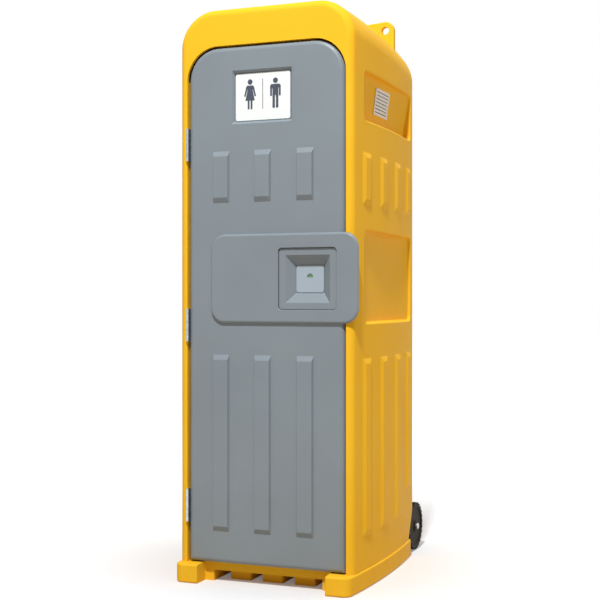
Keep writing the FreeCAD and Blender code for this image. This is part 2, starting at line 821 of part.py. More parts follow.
def make_base():
    block = bowed_block("base", "base_half_width", "side_arc", ("-base_front", "base_rear"),
                        (0, "base_height"))
    doc.recompute()
    top = size("base_height")
    block = rounded("base_corners", block, (size("base_corner_radius"), lambda e: runs_along(e, "Z")))
    doc.recompute()
    block = rounded("base_soft", block, (
        size("base_edge_round"), lambda e: lies_at(e, "Z", top) or lies_at(e, "Z", 0)))
    low = "-cut_spare"
    notch = box("foot_notch", ("-foot_inner", "foot_inner"), ("-base_front - cut_spare", "-foot_back"),
                (low, "base_height + cut_spare"))
    doc.recompute()
    notch = rounded("foot_notch_soft", notch, (size("base_edge_round"), lambda e: runs_along(e, "Z")))
    step = box("sill_gap", ("-foot_step", "foot_step"), ("-base_front - cut_spare", "base_rear + cut_spare"),
               (low, "sill_low"))
    tunnel = box("deck_gap", ("-foot_step", "foot_step"),
                 ("-foot_back + sill_thick", "base_rear - base_wall"), (low, "base_height - base_deck"))
    side = box("side_hollow", ("foot_step + base_wall", "base_half_width - base_corner_radius"),
               ("-foot_back + base_wall", "base_rear - base_corner_radius"),
               (low, "base_height - base_deck"))
    block = cut("base_cut", block, notch, step, tunnel, side, mirrored("left_side_hollow", side))
    skids = []
    for index in (-1, 0, 1):
        x = f"{index} * skid_pitch"
        outer = box(f"skid_{index + 2}_block", (f"{x} - skid_width / 2", f"{x} + skid_width / 2"),
                    ("-skid_front", "base_rear - base_wall"), (0, "base_height - base_deck / 2"))
        doc.recompute()
        outer = rounded(f"skid_{index + 2}_soft", outer, (
            size("base_edge_round"), lambda e: runs_along(e, "Z") and lies_at(e, "Y", -size("skid_front"))))
        inner = box(f"skid_{index + 2}_hollow",
                    (f"{x} - skid_width / 2 + base_wall", f"{x} + skid_width / 2 - base_wall"),
                    ("-skid_front + base_wall", "base_rear + cut_spare"),
                    ("skid_sole", "base_height - base_deck"))
        skids.append(cut(f"skid_{index + 2}", outer, inner))
    node("base_pallet", fuse("pallet", block, *skids))
    mat = box("mat", ("-mat_half_width", "mat_half_width"), ("-mat_front", "tank_front - mat_gap"),
              ("base_height", "base_height + mat_thick"))
    node("floor_mat", mat)


def make_wheels():
    axle_end = "(wheel_outer + cap_length / 2)"
    axle = rod("axle_bar", "X", (f"-{axle_end}", "axle_y", "axle_z"), "axle_radius", f"2 * {axle_end}")
    node("axle", axle)
    inner = "(wheel_outer - tread_width)"
    web_low = "(wheel_outer - tread_width / 2 - web_thick / 2)"
    web_high = "(wheel_outer - tread_width / 2 + web_thick / 2)"
    tyre = turned("tyre_ring", [(inner, "rim_radius"), (inner, "wheel_radius - tread_round"),
                                (f"{inner} + tread_round", "wheel_radius"),
                                ("wheel_outer - tread_round", "wheel_radius"),
                                ("wheel_outer", "wheel_radius - tread_round"), ("wheel_outer", "rim_radius")])
    bore = "axle_radius + running_gap"
    lip = "rim_radius - rim_lip"
    hub = turned("hub_disc", [
        (inner, bore), (inner, "hub_radius"), (web_low, "hub_radius + hub_flare"),
        (web_low, f"{lip} - rim_flare"), (inner, lip), (inner, "rim_radius"), ("wheel_outer", "rim_radius"),
        ("wheel_outer", lip), (web_high, f"{lip} - rim_flare"), (web_high, "hub_radius + hub_flare"),
        ("wheel_outer", "hub_radius"), ("wheel_outer", bore)])
    gap = "wheel_outer + wheel_gap"
    cap = turned("cap_form", [
        (gap, bore), (gap, "cap_radius"), (f"{gap} + cap_length - cap_taper", "cap_radius"),
        (f"{gap} + cap_length", "cap_radius - cap_taper"), (f"{gap} + cap_length", "0"), (axle_end, "0"),
        (axle_end, bore)])
    for name, form in (("wheel_tyre", tyre), ("wheel_hub", hub), ("axle_cap", cap)):
        move(form, 0, "axle_y", "axle_z")
        node(name + "_right", form)
        node(name + "_left", mirrored(name + "_other", form))
    half = "bracket_thick / 2"
    flange = box("bracket_flange_block", ("bracket_x - bracket_flange / 2", "bracket_x + bracket_flange / 2"),
                 ("base_rear", "base_rear + bracket_thick"), ("skid_sole", "base_height - base_edge_round"))
    arm = box("bracket_arm", (f"bracket_x - {half}", f"bracket_x + {half}"),
              ("base_rear", "axle_y + bracket_reach"), ("bracket_low", "bracket_top"))
    doc.recompute()
    arm = rounded("bracket_arm_soft", arm, (
        size("bracket_round"), lambda e: runs_along(e, "X") and e.BoundBox.YMax > size("axle_y")))
    hole = rod("bracket_hole", "X", ("bracket_x - bracket_thick", "axle_y", "axle_z"),
               "axle_radius + running_gap", "2 * bracket_thick")
    right = node("axle_bracket_right", cut("right_bracket", fuse("bracket_block", flange, arm), hole))
    node("axle_bracket_left", mirrored("left_bracket", right))
    heads = []
    for sign in (-1, 1):
        for index, lean in enumerate((-1, 1)):
            x = f"{sign} * bracket_x + {lean} * bracket_flange / 3"
            name = f"bracket_bolt_{'left' if sign < 0 else 'right'}_{index + 1}"
            heads.append(rod(name, "Y", (x, "base_rear + bracket_thick", "base_height / 2"),
                             "bolt_head_radius", "bolt_head"))
    node("bracket_bolts", group("bolts", *heads))


# Door frame parts and hinges

def make_frame():
    y = ("-shell_front + front_wall", "-shell_front + front_wall + jamb_depth")
    lip_y = (f"{y[1]} - stop_thick", y[1])
    z = ("base_height", "door_top - door_corner_radius")
    seal_y = (f"{DOOR_BACK} + seal_gap", lip_y[0])
    bolt_hole = bolt_box("strike_hole", f"{OPENING_RIGHT} - cut_spare",
                         f"{OPENING_RIGHT} + jamb_wall + bolt_gap", "strike_gap")
    seals = []
    sides = {"left": ("-jamb_reach", OPENING_LEFT), "right": (OPENING_RIGHT, "jamb_reach")}
    for name, x in sides.items():
        tube = box(f"jamb_{name}_block", x, y, z)
        bore = box(f"jamb_{name}_bore", (f"{x[0]} + jamb_wall", f"{x[1]} - jamb_wall"),
                   (f"{y[0]} + jamb_wall", f"{y[1]} - jamb_wall"),
                   (f"{z[0]} - cut_spare", f"{z[1]} + cut_spare"))
        holes = [bore, bolt_hole] if name == "right" else [bore]
        tube = cut(f"jamb_{name}_tube", tube, *holes)
        edge = x[1] if name == "left" else x[0]
        sign = 1 if name == "left" else -1
        lip_x = sorted_pair(edge, f"{edge} + {sign} * stop_lip", sign)
        lip = box(f"jamb_{name}_lip", lip_x, lip_y, z)
        node(f"door_jamb_{name}", fuse(f"jamb_{name}", tube, lip))
        inner = f"{edge} + {sign} * stop_lip"
        seal_x = sorted_pair(inner, f"{inner} - {sign} * seal_width", -sign)
        seals.append(box(f"seal_{name}", seal_x, seal_y, z))
    top_x = (f"{DOOR_LEFT} + door_corner_radius", f"{DOOR_RIGHT} - door_corner_radius")
    bar = box("header_bar", top_x, y, (OPENING_TOP, f"{OPENING_TOP} + header_height"))
    lip_low = f"{OPENING_TOP} - stop_lip"
    lip = box("header_lip", top_x, lip_y, (lip_low, OPENING_TOP))
    node("door_header", fuse("header", bar, lip))
    seals.append(box("seal_top", top_x, seal_y, (lip_low, f"{lip_low} + seal_width")))
    node("door_seal", group("seal", *seals))
    plate = box("strike_block", (f"{OPENING_RIGHT} - strike_thick", OPENING_RIGHT),
                (f"{DOOR_FRONT} + front_wall + jamb_wall", f"{DOOR_BACK} - seal_gap"),
                ("spindle_z + drive_radius + bolt_side / 2 - strike_height / 2",
                 "spindle_z + drive_radius + bolt_side / 2 + strike_height / 2"))
    node("strike_plate", cut("strike", plate, bolt_box(
        "strike_plate_hole", f"{OPENING_RIGHT} - cut_spare", f"{OPENING_RIGHT} + cut_spare", "strike_gap")))


def sorted_pair(first, second, sign):
    return (first, second) if sign > 0 else (second, first)


HINGE_X = f"({DOOR_LEFT} - hinge_gap / 2)"
HINGE_Y = "(-shell_front - hinge_proud)"
HINGE_NAMES = ("lower", "middle", "upper")


def make_hinges():
    third = "hinge_length / 3"
    pins = []
    for index, place in enumerate(HINGE_NAMES):
        low = f"(hinge_low + {index} * hinge_pitch - hinge_length / 2)"
        rows = {
            "frame": [(low, f"{low} + {third} - knuckle_gap"),
                      (f"{low} + 2 * {third} + knuckle_gap", f"{low} + hinge_length")],
            "door": [(f"{low} + {third}", f"{low} + 2 * {third}")],
        }
        plates = {"frame": (OPENING_LEFT, f"{OPENING_LEFT} + hinge_leaf"),
                  "door": (f"{DOOR_LEFT} - hinge_leaf", DOOR_LEFT)}
        back = f"{HINGE_Y} + knuckle_radius + knuckle_gap"
        bore = rod(f"hinge_{place}_bore", "Z", (HINGE_X, HINGE_Y, f"{low} - cut_spare"),
                   "pin_radius + running_gap", "hinge_length + 2 * cut_spare")
        for side, spans in rows.items():
            x = plates[side]
            leaf = box(f"hinge_{place}_{side}_plate", x, (back, f"{back} + leaf_depth"),
                       (low, f"{low} + hinge_length"))
            parts = [leaf]
            for number, (bottom, top) in enumerate(spans):
                name = f"hinge_{place}_{side}_{number + 1}"
                parts.append(rod(name + "_knuckle", "Z", (HINGE_X, HINGE_Y, bottom), "knuckle_radius",
                                 f"{top} - ({bottom})"))
                parts.append(box(name + "_neck", x, (HINGE_Y, f"{back} + hinge_leaf"), (bottom, top)))
            form = cut(f"hinge_{place}_{side}", fuse(f"hinge_{place}_{side}_form", *parts), bore)
            node(f"hinge_{side}_leaf_{place}", form)
        pins.append(rod(f"hinge_{place}_pin", "Z", (HINGE_X, HINGE_Y, f"{low} + knuckle_gap"), "pin_radius",
                        "hinge_length - 2 * knuckle_gap"))
    node("hinge_pins", group("pins", *pins))


# Door

BOLT_Y = "(-shell_front + bolt_inset)"


def bolt_box(name, left, right, clear):
    """The bolt's own section, grown by a clearance, over a stretch of its path."""
    low = "(spindle_z + drive_radius + bolt_gap)"
    return box(name, (left, right),
               (f"{BOLT_Y} - bolt_thick / 2 - ({clear})", f"{BOLT_Y} + bolt_thick / 2 + ({clear})"),
               (f"{low} - ({clear})", f"{low} + bolt_side + ({clear})"))


def funnel(name, floor, mouth, depth, place):
    """A pocket that widens toward the front, from half of its floor to half of its mouth."""
    solid = doc.addObject("Part::Wedge", name)
    solid.Placement.Rotation = FreeCAD.Rotation(FreeCAD.Vector(0, 0, 1), 180)
    bind(solid, Xmin=f"-({floor[0]})", Xmax=floor[0], Zmin=f"-({floor[1]})", Zmax=floor[1], Ymin="0",
         Ymax=depth, X2min=f"-({mouth[0]})", X2max=mouth[0], Z2min=f"-({mouth[1]})", Z2max=mouth[1])
    return move(solid, *place)


def square(name, side, y):
    return box(name, (f"latch_x - ({side}) / 2", f"latch_x + ({side}) / 2"), y,
               (f"latch_z - ({side}) / 2", f"latch_z + ({side}) / 2"))


def sign_box(name, margin, front, back):
    across = f"(sign_width / 2 + {margin})"
    up = f"(sign_height / 2 + {margin})"
    return box(name, (f"sign_x - {across}", f"sign_x + {across}"), (front, back),
               (f"sign_z - {up}", f"sign_z + {up}"))


def make_door():
    block = box("door_block", (DOOR_LEFT, DOOR_RIGHT), (DOOR_FRONT, DOOR_BACK), ("door_low", "door_top"))
    doc.recompute()
    top = size("door_top")
    block = rounded("door_corners", block, (
        size("door_corner_radius"), lambda e: runs_along(e, "Y") and lies_at(e, "Z", top)))
    doc.recompute()
    front = -size("shell_front")
    block = rounded("door_soft", block, (size("door_edge_round"), lambda e: lies_at(e, "Y", front)))
    ribs = []
    rows = {"low": ("door_rib_low", "door_rib_low_top"), "high": ("door_rib_high", "door_rib_high_top")}
    for row_name, (low, high) in rows.items():
        for column in (-1, 0, 1):
            name = f"door_rib_{row_name}_{column + 2}"
            ribs.append(soft_rib(name, move(rib(name, f"({high} - {low})", 180),
                                            f"door_rib_x + {column} * door_rib_pitch", DOOR_FRONT, low)))
    skin = fuse("ribbed_door", block, *ribs)
    floor = ("sign_width / 2 + sign_margin", "sign_height / 2 + sign_margin")
    recess = funnel("sign_recess_block", floor, [f"{half} + sign_draft" for half in floor], "sign_depth",
                    ("sign_x", f"{DOOR_FRONT} + sign_depth", "sign_z"))
    doc.recompute()
    recess = rounded("sign_recess", recess, (size("sign_corner"), lambda e: e.BoundBox.YLength > TOUCH))
    skin = cut("recessed_door", skin, recess)
    mouth = size("sign_height") / 2 + size("sign_margin") + size("sign_draft") + TOUCH
    skin = rounded("soft_door", skin, (size("sign_mouth_round"), lambda e: (
        lies_at(e, "Y", front) and e.BoundBox.ZMin > size("sign_z") - mouth
        and e.BoundBox.ZMax < size("sign_z") + mouth)))
    hollow = box("door_hollow_block", (f"{DOOR_LEFT} + door_skin", f"{DOOR_RIGHT} - door_skin"),
                 (f"{DOOR_FRONT} + door_skin", f"{DOOR_BACK} + cut_spare"),
                 ("door_low + door_skin", "door_top - door_skin"))
    doc.recompute()
    inner_top = size("door_top") - size("door_skin")
    hollow = rounded("door_hollow_corners", hollow, (
        size("door_corner_radius") - size("door_skin"),
        lambda e: runs_along(e, "Y") and lies_at(e, "Z", inner_top)))
    doc.recompute()
    hollow = rounded("door_hollow", hollow, (
        size("door_edge_round") - size("door_skin"), lambda e: lies_at(e, "Y", front + size("door_skin"))))
    behind_sign = sign_box("sign_back", "sign_margin + sign_draft + door_skin", f"{DOOR_FRONT} - cut_spare",
                           f"{DOOR_FRONT} + sign_depth + door_skin")
    hollow = cut("door_cavity", hollow, behind_sign)
    spindle_hole = rod("spindle_hole", "Y", ("latch_x", f"{DOOR_FRONT} - cut_spare", "spindle_z"),
                       "spindle_radius + running_gap", "door_thick + 2 * cut_spare")
    bolt_hole = bolt_box("door_bolt_hole", f"{DOOR_RIGHT} - 2 * door_skin", f"{DOOR_RIGHT} + cut_spare",
                         "bolt_gap")
    latch_hole = square("latch_hole", "pocket_mouth + 2 * (bezel_wall + bezel_gap)",
                        (f"{DOOR_FRONT} - cut_spare", f"{DOOR_FRONT} + door_skin + cut_spare"))
    node("door_outer_panel", cut("door_outer", skin, hollow, latch_hole, bolt_hole))
    gap = "seal_gap"
    panel = box("door_inner_block", (f"{DOOR_LEFT} + door_skin + {gap}", f"{DOOR_RIGHT} - door_skin - {gap}"),
                (f"{DOOR_BACK} - door_skin", DOOR_BACK),
                (f"door_low + door_skin + {gap}", f"door_top - door_skin - {gap}"))
    doc.recompute()
    panel_top = size("door_top") - size("door_skin") - size("seal_gap")
    panel = rounded("door_inner_round", panel, (
        size("door_corner_radius") - size("door_skin"),
        lambda e: runs_along(e, "Y") and lies_at(e, "Z", panel_top)))
    node("door_inner_panel", cut("door_inner", panel, spindle_hole))


def make_sign():
    back = f"{DOOR_FRONT} + sign_depth"
    face = f"({back} - sign_plate)"
    plate = sign_box("sign_plate_block", "0", face, back)
    doc.recompute()
    plate = rounded("sign_plate_round", plate, (size("sign_corner"), lambda e: runs_along(e, "Y")))
    node("sign_plate", plate)
    y = (f"{face} - figure_thick", face)
    half = "figure_height / 2"
    middle = "sign_z + figure_lift"
    for name, sign, outline in (("woman", -1, WOMAN), ("man", 1, MAN)):
        x = f"sign_x + {sign} * figure_offset"
        head = rod(f"{name}_head", "Y", (x, y[0], f"{middle} + {half} - figure_head"), "figure_head",
                   "figure_thick")
        right = [(f"{x} + ({across}) * figure_height", f"{middle} - {half} + ({up}) * figure_height")
                 for across, up in outline]
        left = [(f"{x} - ({across}) * figure_height", f"{middle} - {half} + ({up}) * figure_height")
                for across, up in reversed(outline) if across > 0]
        torso = padded(f"{name}_torso", "XZ_Plane", right + left, *y)
        node(f"sign_{name}", group(name, head, torso))
    node("sign_divider", box("divider", ("sign_x - figure_thick", "sign_x + figure_thick"), y,
                             (f"{middle} - {half}", f"{middle} + {half}")))


# Right half of each figure below the head, as shares of the figure's height
WOMAN = [(0, 0.29), (0.022, 0.29), (0.022, 0), (0.085, 0), (0.085, 0.29), (0.168, 0.29), (0.088, 0.66),
         (0.101, 0.67), (0.168, 0.42), (0.216, 0.44), (0.146, 0.735), (0.106, 0.79), (0, 0.79)]
MAN = [(0, 0.42), (0.02, 0.42), (0.02, 0), (0.105, 0), (0.105, 0.66), (0.125, 0.66), (0.125, 0.4),
       (0.19, 0.4), (0.19, 0.74), (0.14, 0.79), (0, 0.79)]


PLATE_FRONT = "(-shell_front - plate_proud)"
BEZEL_FRONT = f"({PLATE_FRONT} + bezel_step)"
POCKET_FLOOR = f"({BEZEL_FRONT} + pocket_depth + cover_thick)"
BEZEL_BACK = f"({POCKET_FLOOR} + bezel_floor)"


def make_handle():
    block = box("plate_block", ("plate_left", "plate_right"), (PLATE_FRONT, DOOR_FRONT),
                ("plate_low", "plate_top"))
    doc.recompute()
    block = rounded("plate_corners", block, (size("plate_corner_radius"), lambda e: runs_along(e, "Y")))
    doc.recompute()
    front = -size("shell_front") - size("plate_proud")
    block = rounded("plate_soft", block, (size("plate_edge_round"), lambda e: lies_at(e, "Y", front)))
    hole = square("bezel_hole_block", "bezel_side",
                  (f"{PLATE_FRONT} - cut_spare", f"{DOOR_FRONT} + cut_spare"))
    doc.recompute()
    hole = rounded("bezel_hole", hole, (size("bezel_corner"), lambda e: runs_along(e, "Y")))
    block = cut("plate_holed", block, hole)
    mouth = size("bezel_side") / 2 + TOUCH
    block = rounded("plate_mouth", block, (size("bezel_round"), lambda e: (
        lies_at(e, "Y", front) and e.BoundBox.XMin > size("latch_x") - mouth
        and e.BoundBox.XMax < size("latch_x") + mouth and e.BoundBox.ZMin > size("latch_z") - mouth
        and e.BoundBox.ZMax < size("latch_z") + mouth)))
    overhang = box("plate_overhang_gap", (f"{DOOR_RIGHT} - plate_lap", "plate_right + cut_spare"),
                   (f"{DOOR_FRONT} - plate_frame_gap", f"{DOOR_FRONT} + cut_spare"),
                   ("plate_low - cut_spare", "plate_top + cut_spare"))
    node("handle_plate", cut("plate", block, overhang))
    flange = square("bezel_flange_block", "bezel_side - 2 * bezel_gap", (BEZEL_FRONT, DOOR_FRONT))
    doc.recompute()
    flange = rounded("bezel_flange", flange, (size("bezel_corner"), lambda e: runs_along(e, "Y")))
    cup = square("bezel_cup", "pocket_mouth + 2 * bezel_wall", (DOOR_FRONT, BEZEL_BACK))
    pocket = funnel("latch_pocket", ("cover_width / 2 + bezel_gap", "cover_height / 2 + bezel_gap"),
                    ("pocket_mouth / 2", "pocket_mouth / 2"), f"{POCKET_FLOOR} - {BEZEL_FRONT}",
                    ("latch_x", POCKET_FLOOR, "latch_z"))
    disc_pocket = rod("disc_pocket", "Y", ("latch_x", f"{POCKET_FLOOR} - cover_thick", "spindle_z"),
                      "disc_pocket_radius", "cover_thick + bezel_floor + cut_spare")
    bezel = cut("bezel_pocket", fuse("bezel_form", flange, cup), pocket)
    bezel_front = front + size("bezel_step")
    bezel = rounded("bezel_soft", bezel, (size("bezel_round"), lambda e: lies_at(e, "Y", bezel_front)))
    node("latch_bezel", cut("bezel", bezel, disc_pocket))
    cover_y = (f"{POCKET_FLOOR} - cover_thick", POCKET_FLOOR)
    cover = box("cover_block", ("latch_x - cover_width / 2", "latch_x + cover_width / 2"), cover_y,
                ("latch_z - cover_height / 2", "latch_z + cover_height / 2"))
    doc.recompute()
    cover = rounded("cover_round", cover, (size("cover_corner"), lambda e: runs_along(e, "Y")))
    window = window_form("window_hole", "0", (f"{cover_y[0]} - cut_spare", f"{cover_y[1]} + cut_spare"))
    node("indicator_cover", cut("cover", cover, window))
    sunk_y = (f"{cover_y[0]} + window_sink", cover_y[1])
    node("indicator_window", window_form("window", "running_gap", sunk_y))


def window_form(name, gap, y):
    """A half-moon with a flat foot."""
    middle = "(spindle_z + window_rise)"
    block = box(name + "_block",
                (f"latch_x - window_width / 2 + {gap}", f"latch_x + window_width / 2 - {gap}"), y,
                (f"{middle} - window_height / 2 + {gap}", f"{middle} + window_height / 2 - {gap}"))
    arch = "(window_width^2 / 4 + window_height^2) / (2 * window_height)"
    drum = rod(name + "_arch", "Y", ("latch_x", y[0], f"{middle} + window_height / 2 - {arch}"),
               f"{arch} - {gap}", f"{y[1]} - ({y[0]})")
    return common(name, block, drum)


# Lock: thumb turn, spindle and indicator turn together, and drive the bolt

def make_lock():
    disc_front = f"({POCKET_FLOOR} + disc_gap + field_thick)"
    disc = rod("disc", "Y", ("latch_x", disc_front, "spindle_z"), "disc_radius", "disc_thick")
    node("indicator_disc", disc)
    field_y = (f"{disc_front} - field_thick", disc_front)
    half = "window_width / 2 + field_margin"
    near = "window_rise - window_height / 2 - field_margin"
    far = "window_rise + window_height / 2 + field_margin"
    node("indicator_green", box("green_field", (f"latch_x - ({half})", f"latch_x + {half}"), field_y,
                                (f"spindle_z + {near}", f"spindle_z + {far}")))
    node("indicator_red", box("red_field", (f"latch_x + {near}", f"latch_x + {far}"), field_y,
                              (f"spindle_z - ({half})", f"spindle_z + {half}")))
    start = f"{disc_front} + disc_thick"
    end = f"({DOOR_BACK} + turn_base)"
    shaft = rod("spindle_shaft", "Y", ("latch_x", start, "spindle_z"), "spindle_radius", f"{end} - ({start})")
    drive = rod("spindle_drive", "Y", ("latch_x", f"{BOLT_Y} - drive_thick / 2", "spindle_z"), "drive_radius",
                "drive_thick")
    node("lock_spindle", fuse("spindle", shaft, drive))
    knob_y = f"{DOOR_BACK} + seal_gap"
    base = rod("turn_base_disc", "Y", ("latch_x", knob_y, "spindle_z"), "turn_radius", "turn_base")
    grip = box("turn_grip_block", ("latch_x - turn_bar / 2", "latch_x + turn_bar / 2"),
               (knob_y, f"{knob_y} + turn_base + turn_grip"),
               ("spindle_z - turn_radius + turn_round", "spindle_z + turn_radius - turn_round"))
    doc.recompute()
    grip = rounded("turn_grip_soft", grip, (size("turn_round"), lambda e: runs_along(e, "Y")))
    knob = fuse("turn_knob", base, grip)
    bore = rod("turn_bore", "Y", ("latch_x", f"{DOOR_BACK} - cut_spare", "spindle_z"),
               "spindle_radius + running_gap", "turn_base + cut_spare")
    node("thumb_turn", cut("turn", knob, bore))
    tip = f"({DOOR_RIGHT} - bolt_setback)"
    node("lock_bolt", bolt_box("bolt", "bolt_back", tip, "0"))
    case_y = (f"{BEZEL_BACK} + seal_gap", f"{DOOR_BACK} - door_skin")
    case = box("case_block", ("case_back", f"{DOOR_RIGHT} - door_skin - seal_gap"), case_y,
               ("spindle_z - case_drop", "spindle_z + drive_radius + bolt_gap * 2 + bolt_side + case_wall"))
    channel = bolt_box("case_channel", "bolt_back - bolt_gap", f"{DOOR_RIGHT} + cut_spare", "bolt_gap")
    well = rod("case_well", "Y", ("latch_x", f"{BOLT_Y} - drive_thick / 2 - drive_gap", "spindle_z"),
               "drive_radius + drive_gap", "drive_thick + 2 * drive_gap")
    clear = rod("case_shaft_hole", "Y", ("latch_x", f"{DOOR_FRONT} - cut_spare", "spindle_z"),
                "spindle_radius + running_gap", "door_thick + 2 * cut_spare")
    node("lock_case", cut("case", case, channel, well, clear))


def make_inner_fittings():
    bar_y = (DOOR_BACK, f"{DOOR_BACK} + pull_reach")
    grip = box("pull_grip", ("pull_x - pull_bar / 2", "pull_x + pull_bar / 2"), bar_y,
               ("pull_low", "pull_low + pull_height"))
    doc.recompute()
    door_back = size("door_thick") - size("shell_front")
    grip = rounded("pull_soft", grip, (size("pull_round"), lambda e: e.BoundBox.YMax > door_back + TOUCH))
    finger = box("pull_gap", ("pull_x - pull_bar", "pull_x + pull_bar"),
                 (f"{DOOR_BACK} - cut_spare", f"{bar_y[1]} - pull_bar"),
                 ("pull_low + pull_bar", "pull_low + pull_height - pull_bar"))
    node("inner_pull", cut("pull", grip, finger))
    plate = box("hook_plate", ("hook_x - hook_plate_width / 2", "hook_x + hook_plate_width / 2"),
                (DOOR_BACK, f"{DOOR_BACK} + hook_plate_thick"),
                ("hook_z - hook_plate_height / 2", "hook_z + hook_plate_height / 2"))
    arm_z = "hook_z - hook_rise / 2"
    arm = rod("hook_arm", "Y", ("hook_x", DOOR_BACK, arm_z), "hook_bar_radius", "hook_reach")
    tip = rod("hook_tip", "Z", ("hook_x", f"{DOOR_BACK} + hook_reach", arm_z), "hook_bar_radius", "hook_rise")
    node("coat_hook", fuse("hook", plate, arm, tip))


# Toilet fittings

def make_tank():
    x = ("-tank_half_width", "tank_half_width")
    floor = "base_height"
    foot = box("tank_foot", x, ("tank_front", "tank_foot_rear"), (floor, "tank_height"))
    bench = box("tank_bench", x, ("tank_front", "tank_rear"), ("tank_step", "tank_height"))
    block = fuse("tank_block", foot, bench)
    doc.recompute()
    front, top = size("tank_front"), size("tank_height")
    block = rounded("tank_soft", block, (size("tank_round"), lambda e: (
        lies_at(e, "Y", front) and not lies_at(e, "Z", size("base_height"))) or lies_at(e, "Z", top)))
    inner_x = ("-tank_half_width + tank_wall", "tank_half_width - tank_wall")
    basin = box("tank_basin", inner_x, ("tank_front + tank_wall", "tank_foot_rear - tank_wall"),
                (f"{floor} + tank_wall", "tank_height - tank_wall"))
    shelf = box("tank_shelf", inner_x, ("tank_front + tank_wall", "tank_rear - tank_wall"),
                ("tank_step + tank_wall", "tank_height - tank_wall"))
    hole = oval("tank_hole", "hole_half_width", "hole_half_length", "seat_y", "tank_height - cut_spare",
                "2 * cut_spare")
    stack = rod("tank_pipe_hole", "Z", ("pipe_x", "pipe_y", "tank_height - cut_spare"),
                "pipe_radius - pipe_wall", "2 * cut_spare")
    node("waste_tank", cut("tank", block, fuse("tank_inside", basin, shelf), hole, stack))
    ring = cut("seat_ring_form",
               oval("seat_outer", "seat_half_width", "seat_half_length", "seat_y", "tank_height",
                    "seat_thick"),
               oval("seat_inner", "hole_half_width", "hole_half_length", "seat_y", "tank_height - cut_spare",
                    "seat_thick + 2 * cut_spare"))
    doc.recompute()
    seat_top = size("tank_height") + size("seat_thick")
    ring = rounded("seat_soft", ring, (size("lid_edge_round"), lambda e: lies_at(e, "Z", seat_top)))
    node("seat_ring", ring)
    make_lid()
    pipe = rod("pipe_outer", "Z", ("pipe_x", "pipe_y", "tank_height"), "pipe_radius",
               "pipe_top - tank_height")
    bore = rod("pipe_bore", "Z", ("pipe_x", "pipe_y", "tank_height - cut_spare"), "pipe_radius - pipe_wall",
               "pipe_top + 2 * cut_spare")
    node("vent_pipe", cut("pipe", pipe, bore))
    cowl = rod("cowl_outer", "Z", ("pipe_x", "pipe_y", "pipe_top"), "cowl_radius", "cowl_height")
    doc.recompute()
    cowl_top = size("pipe_top") + size("cowl_height")
    node("vent_cowl", rounded("cowl", cowl, (size("cowl_height") / 2, lambda e: lies_at(e, "Z", cowl_top))))


def make_lid():
    axis_z = "(tank_height + seat_thick + lid_gap + lid_barrel_radius)"
    low = "(tank_height + seat_thick + lid_gap)"
    plate = oval("lid_plate", "seat_half_width", "seat_half_length", "seat_y", low, "lid_thick")
    tongue = box("lid_tongue", ("-lid_barrel_half", "lid_barrel_half"), ("seat_y", "lid_hinge_y"),
                 (low, f"{low} + lid_thick"))
    barrel = rod("lid_barrel", "X", ("-lid_barrel_half", "lid_hinge_y", axis_z), "lid_barrel_radius",
                 "2 * lid_barrel_half")
    bore = rod("lid_bore", "X", ("-2 * lid_barrel_half", "lid_hinge_y", axis_z),
               "lid_pin_radius + running_gap", "4 * lid_barrel_half")
    node("toilet_lid", cut("lid", fuse("lid_form", plate, tongue, barrel), bore))
    reach = "(lid_barrel_half + lid_side_gap + lid_ear)"
    pin = rod("lid_pin", "X", (f"-{reach}", "lid_hinge_y", axis_z), "lid_pin_radius", f"2 * {reach}")
    node("lid_hinge_pin", pin)
    ears = []
    for sign, name in ((1, "right"), (-1, "left")):
        x = sorted_pair(f"{sign} * (lid_barrel_half + lid_side_gap)", f"{sign} * {reach}", sign)
        ear = box(f"lid_ear_{name}", x,
                  ("lid_hinge_y - lid_barrel_radius", "lid_hinge_y + lid_barrel_radius"),
                  ("tank_height", f"{axis_z} + lid_barrel_radius"))
        ears.append(cut(f"lid_ear_{name}_bored", ear, bore))
    node("lid_hinge_ears", group("lid_ears", *ears))


def make_paper_holder(inner):
    wall = f"({wall_at('paper_y')} - shell_wall)"
    x = f"({wall} - holder_offset)"
    half = "(paper_length / 2 + holder_side_gap)"
    plate = common("holder_back", box(
        "holder_back_block", (f"{wall} - holder_plate_thick", "shell_half_width + cut_spare"),
        (f"paper_y - {half} - holder_arm", f"paper_y + {half} + holder_arm"),
        ("paper_z - holder_plate / 2", "paper_z + holder_plate / 2")), inner)
    arms = []
    for name, sign in (("front", -1), ("rear", 1)):
        y = sorted_pair(f"paper_y + {sign} * {half}", f"paper_y + {sign} * ({half} + holder_arm)", sign)
        arms.append(box(f"holder_arm_{name}",
                        (f"{x} - core_radius", f"{wall} - holder_plate_thick + holder_bond"), y,
                        ("paper_z - core_radius", "paper_z + core_radius")))
    roller = rod("holder_roller", "Y", (x, f"paper_y - {half} - holder_bond", "paper_z"),
                 "core_radius - running_gap", f"2 * ({half} + holder_bond)")
    node("paper_holder", fuse("holder", plate, *arms, roller))
    paper = rod("paper_outer", "Y", (x, "paper_y - paper_length / 2", "paper_z"), "paper_radius",
                "paper_length")
    core = rod("paper_core", "Y", (x, "paper_y - paper_length", "paper_z"), "core_radius", "2 * paper_length")
    node("paper_roll", cut("paper", paper, core))


outer_form, inner_form = make_shell()
make_vents()
make_lugs(outer_form, inner_form)
make_base()
make_wheels()
make_frame()
make_hinges()
make_door()
make_sign()
make_handle()
make_lock()
make_inner_fittings()
make_tank()
make_paper_holder(inner_form)
doc.recompute()

failed = [thing.Name for thing in doc.Objects if "Invalid" in thing.State or "Error" in thing.State]
failed += [piece.Label for piece in nodes if piece.Shape.isNull() or not piece.Shape.isValid()]
if failed:
    raise RuntimeError("not built: " + ", ".join(failed))

